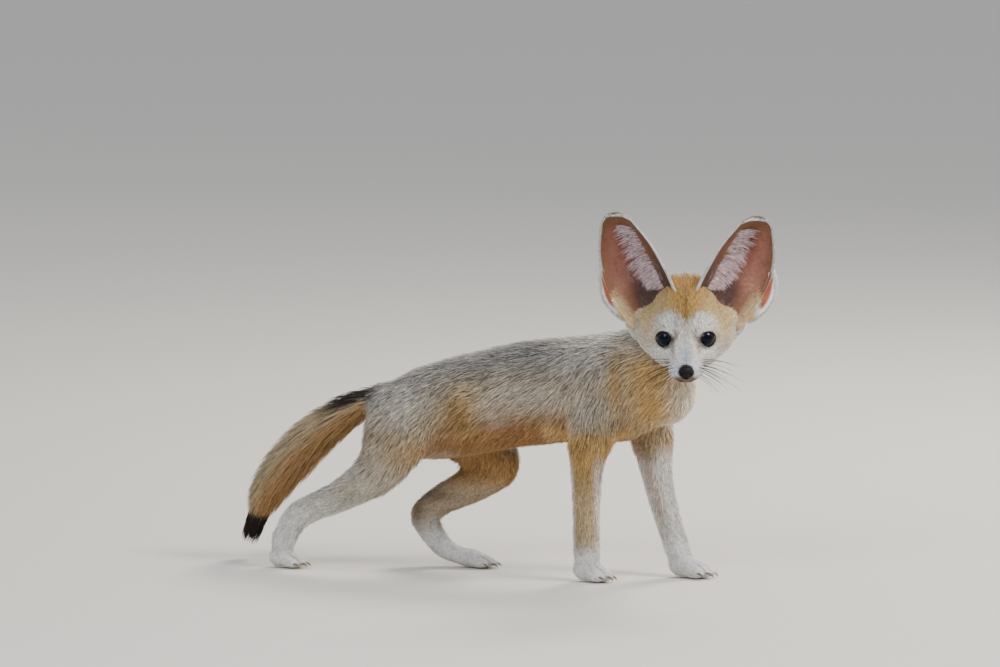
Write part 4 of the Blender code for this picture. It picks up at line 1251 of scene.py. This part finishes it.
def eye(side, name):
    """The eyeball with its iris and pupil, and the dark rim of its lids."""
    turn = np.array(eye_turn(side).to_3x3())
    at = eye_at(side)
    points, tris = ball((0, 0, 0), (EYE_RADIUS,) * 3, Matrix.Rotation(math.radians(90), 4, "Y"), 40)
    off = np.degrees(np.arccos(np.clip(points[:, 0] / EYE_RADIUS, -1, 1)))
    tone = mix(srgb(6, 5, 6), srgb(34, 20, 13), step(off, 26, 31) * (1 - step(off, 50, 56)))
    points = points + unit(points) * (0.35 * hump(off, 0, 34))[:, None]
    piece(name, from_head(points @ turn.T + at), tris, EYE_MATERIAL, "eye", name, colours=tone)
    around = np.linspace(0, 2 * math.pi, 61)[:-1]
    corner = np.abs(np.cos(around)) ** 8
    inner = np.cos(around) * side < 0
    wide = EYE_OPEN[0] * np.cos(around) * (1 + corner * np.where(inner, 0.16, 0.06))
    tall = EYE_OPEN[1] * np.sin(around) - np.where(inner, 1.1, -0.2) * corner
    ring = np.column_stack([np.full(60, 6.0), wide, tall])
    flat = np.linalg.norm(ring[:, 1:], axis=1)
    ring[:, 0] = np.sqrt(np.maximum((EYE_RADIUS + 0.3) ** 2 - flat ** 2, 1))
    ring = np.vstack([ring, ring[:1]])
    radii = np.append(0.78 + 0.2 * np.maximum(np.sin(around), 0) + 0.25 * corner * inner, 0.78)
    rim, tris = tube(ring @ turn.T + at, radii, 10, (1, 0, 0))
    piece(name + "_lid", from_head(rim), tris, LID_MATERIAL, "nose_skin")


for side, name in ((1, "eye_left"), (-1, "eye_right")):
    eye(side, name)


def nose():
    """The nose pad with its nostrils and middle groove pressed in."""
    points, tris = ball((0, 0, 0), (5.5, 5.8, 4.9), Matrix.Rotation(math.radians(90), 4, "Y"), 64)
    x, y, z = points.T
    low = step(-z, 1.0, 5.5)
    y = y * (1 - 0.42 * low)
    dent = np.zeros(len(points))
    for side in (-1, 1):
        across = y - side * (3.1 + 0.4 * z)
        dent += 2.1 * np.exp(-((across / 1.35) ** 2 + (z + 0.1) ** 2) ** 1.5) * (x > 0)
        dent += hump(y, side * 5.0, 1.6) * hump(z, -1.4, 0.55) * (x > 0)
    dent += 0.9 * hump(y, 0, 0.4) * step(-z, -1.5, 1.5) * (x > 0)
    points = np.column_stack([x - dent, y, z])
    turn = np.array(Matrix.Rotation(math.radians(12), 4, "Y").to_3x3())
    points = points @ turn.T + np.array(NOSE_AT)
    piece("nose", from_head(points), tris, NOSE_MATERIAL, "nose_skin", "nose")


nose()


def claws():
    parts = []
    for name in PAWS:
        turn = paw_place(name)
        for across in TOES:
            out = Vector((1, across * 0.045, 0)).normalized()
            root = Vector((toe_reach(across), across, 5.2)) + out * 4.0
            steps = ((0, -0.6), (2.8, -0.6), (4.8, -1.5), (6.1, -2.8), (6.5, -3.7))
            line = curve([turn @ (root + out * ahead + Vector((0, 0, rise))) for ahead, rise in steps], 3)
            radii = np.interp(np.linspace(0, 1, len(line)), (0, 0.5, 1), (1.05, 0.85, 0.12))
            parts.append(tube(line, radii, 12))
    piece("claws", *joined(parts), CLAW_MATERIAL, "nose_skin")


claws()


def hair(name, lines, thick):
    parts = [tube(line, np.linspace(thick, thick * 0.25, len(line)), 5, (0.1, 0.2, 1)) for line in lines]
    piece(name, *joined(parts), WHISKER_MATERIAL, "nose_skin")


def whiskers():
    def bent(root, way, size, sag, places):
        t = np.linspace(0, 1, places)[:, None]
        return from_head((root + unit(way) * size * t + sag * size * t * t) * (1, side, 1))

    lines, brows = [], []
    for side in (-1, 1):
        for row in range(4):
            for k in range(4):
                root = np.array((51 - 4.2 * k, 8.2 + 1.1 * k, -8.2 - 2.3 * row + 0.3 * k))
                size = rng.uniform(30, 44) * (1 - 0.15 * (3 - k))
                way = np.array((0.55 - 0.12 * k, 1.0, 0.30 - 0.24 * row)) + rng.normal(0, 0.08, 3)
                lines.append(bent(root, way, size, np.array((-0.12, -0.06, -0.62 + 0.1 * row)) * 0.6, 11))
        for k in range(6):
            root = np.array((19 + 1.6 * k, 17 - 2.0 * k, 12.5 - 0.5 * k))
            size = rng.uniform(13, 21)
            way = np.array((0.3, 0.5 - 0.2 * k, 1.0)) + rng.normal(0, 0.14, 3)
            brows.append(bent(root, way, size, np.array((-0.35, 0, -0.15)), 7))
    hair("whiskers", lines, 0.29)
    hair("brow_hairs", brows, 0.17)


whiskers()


def mouth():
    parts = []
    for side in (-1, 1):
        line = []
        for p in curve(MOUTH, 5):
            world = from_head(p * (1, side, 1))
            where, out, _, _ = skin_tree.find_nearest(world.tolist())
            line.append(np.array(where) + np.array(out) * 0.4)
        radii = np.interp(np.linspace(0, 1, len(line)), (0, 0.5, 1), (0.75, 0.5, 0.12))
        parts.append(tube(line, radii, 8, (0, 0, 1)))
    piece("mouth", *joined(parts), LID_MATERIAL, "nose_skin")


mouth()


# Floor, light and camera

def stage():
    mesh = bpy.data.meshes.new("floor")
    size, low = 6.0, -0.0006
    corners = [(-size, -size, low), (size, -size, low), (size, size, low), (-size, size, low)]
    mesh.from_pydata(corners, [], [(0, 1, 2, 3)])
    material, shader = new_material("floor", 0.9)
    shader.inputs["Base Color"].default_value = (*srgb(214, 208, 198), 1)
    mesh.materials.append(material)
    placed("floor", mesh)


def area_light(name, at, aim, size, power, tone):
    data = bpy.data.lights.new(name, "AREA")
    data.shape, data.size, data.energy, data.color = "DISK", size, power, tone
    light = placed(name, data)
    light.location = at
    light.rotation_euler = (aim - at).to_track_quat("-Z", "Y").to_euler()


def studio():
    world = bpy.data.worlds.new("studio")
    world.use_nodes = True
    fill(world.node_tree.nodes["Background"], {"Color": (0.80, 0.86, 0.95, 1), "Strength": 0.7})
    bpy.context.scene.world = world
    middle = Vector((0, 0, 0.16))
    view, right, up = Vector((-0.3395, 0.9327, -0.1219)), Vector((0.940, 0.342, 0)), Vector((0, 0, 1))
    warm, cool = (1, 0.95, 0.88), (0.86, 0.93, 1)
    for name, ahead, across, rise, size, power, tone in (
        ("key", -0.9, 1.5, 1.4, 0.8, 46, warm),
        ("fill", -1.8, -0.7, 1.2, 1.1, 25, cool),
        ("rim", 1.2, 0.7, 1.4, 0.7, 30, warm),
    ):
        area_light(name, middle + view * ahead + right * across + up * rise, middle, size, power, tone)


def camera():
    data = bpy.data.cameras.new("camera")
    data.sensor_fit = "HORIZONTAL"
    data.sensor_width = 36
    away, seen = 20, 0.822  # metres to the camera, and across the picture at the fox
    data.lens = data.sensor_width * away / seen
    data.clip_start, data.clip_end = 0.1, 60
    made = placed("camera", data)
    side, tilt = math.radians(20), math.radians(7)
    view = Vector((-math.sin(side) * math.cos(tilt), math.cos(side) * math.cos(tilt), -math.sin(tilt)))
    aim = (Vector((26, 0, 198)) + Vector(SHIFT)) * MM
    made.location = aim - view * away
    made.rotation_euler = view.to_track_quat("-Z", "Y").to_euler()
    bpy.context.scene.camera = made


stage()
studio()
camera()
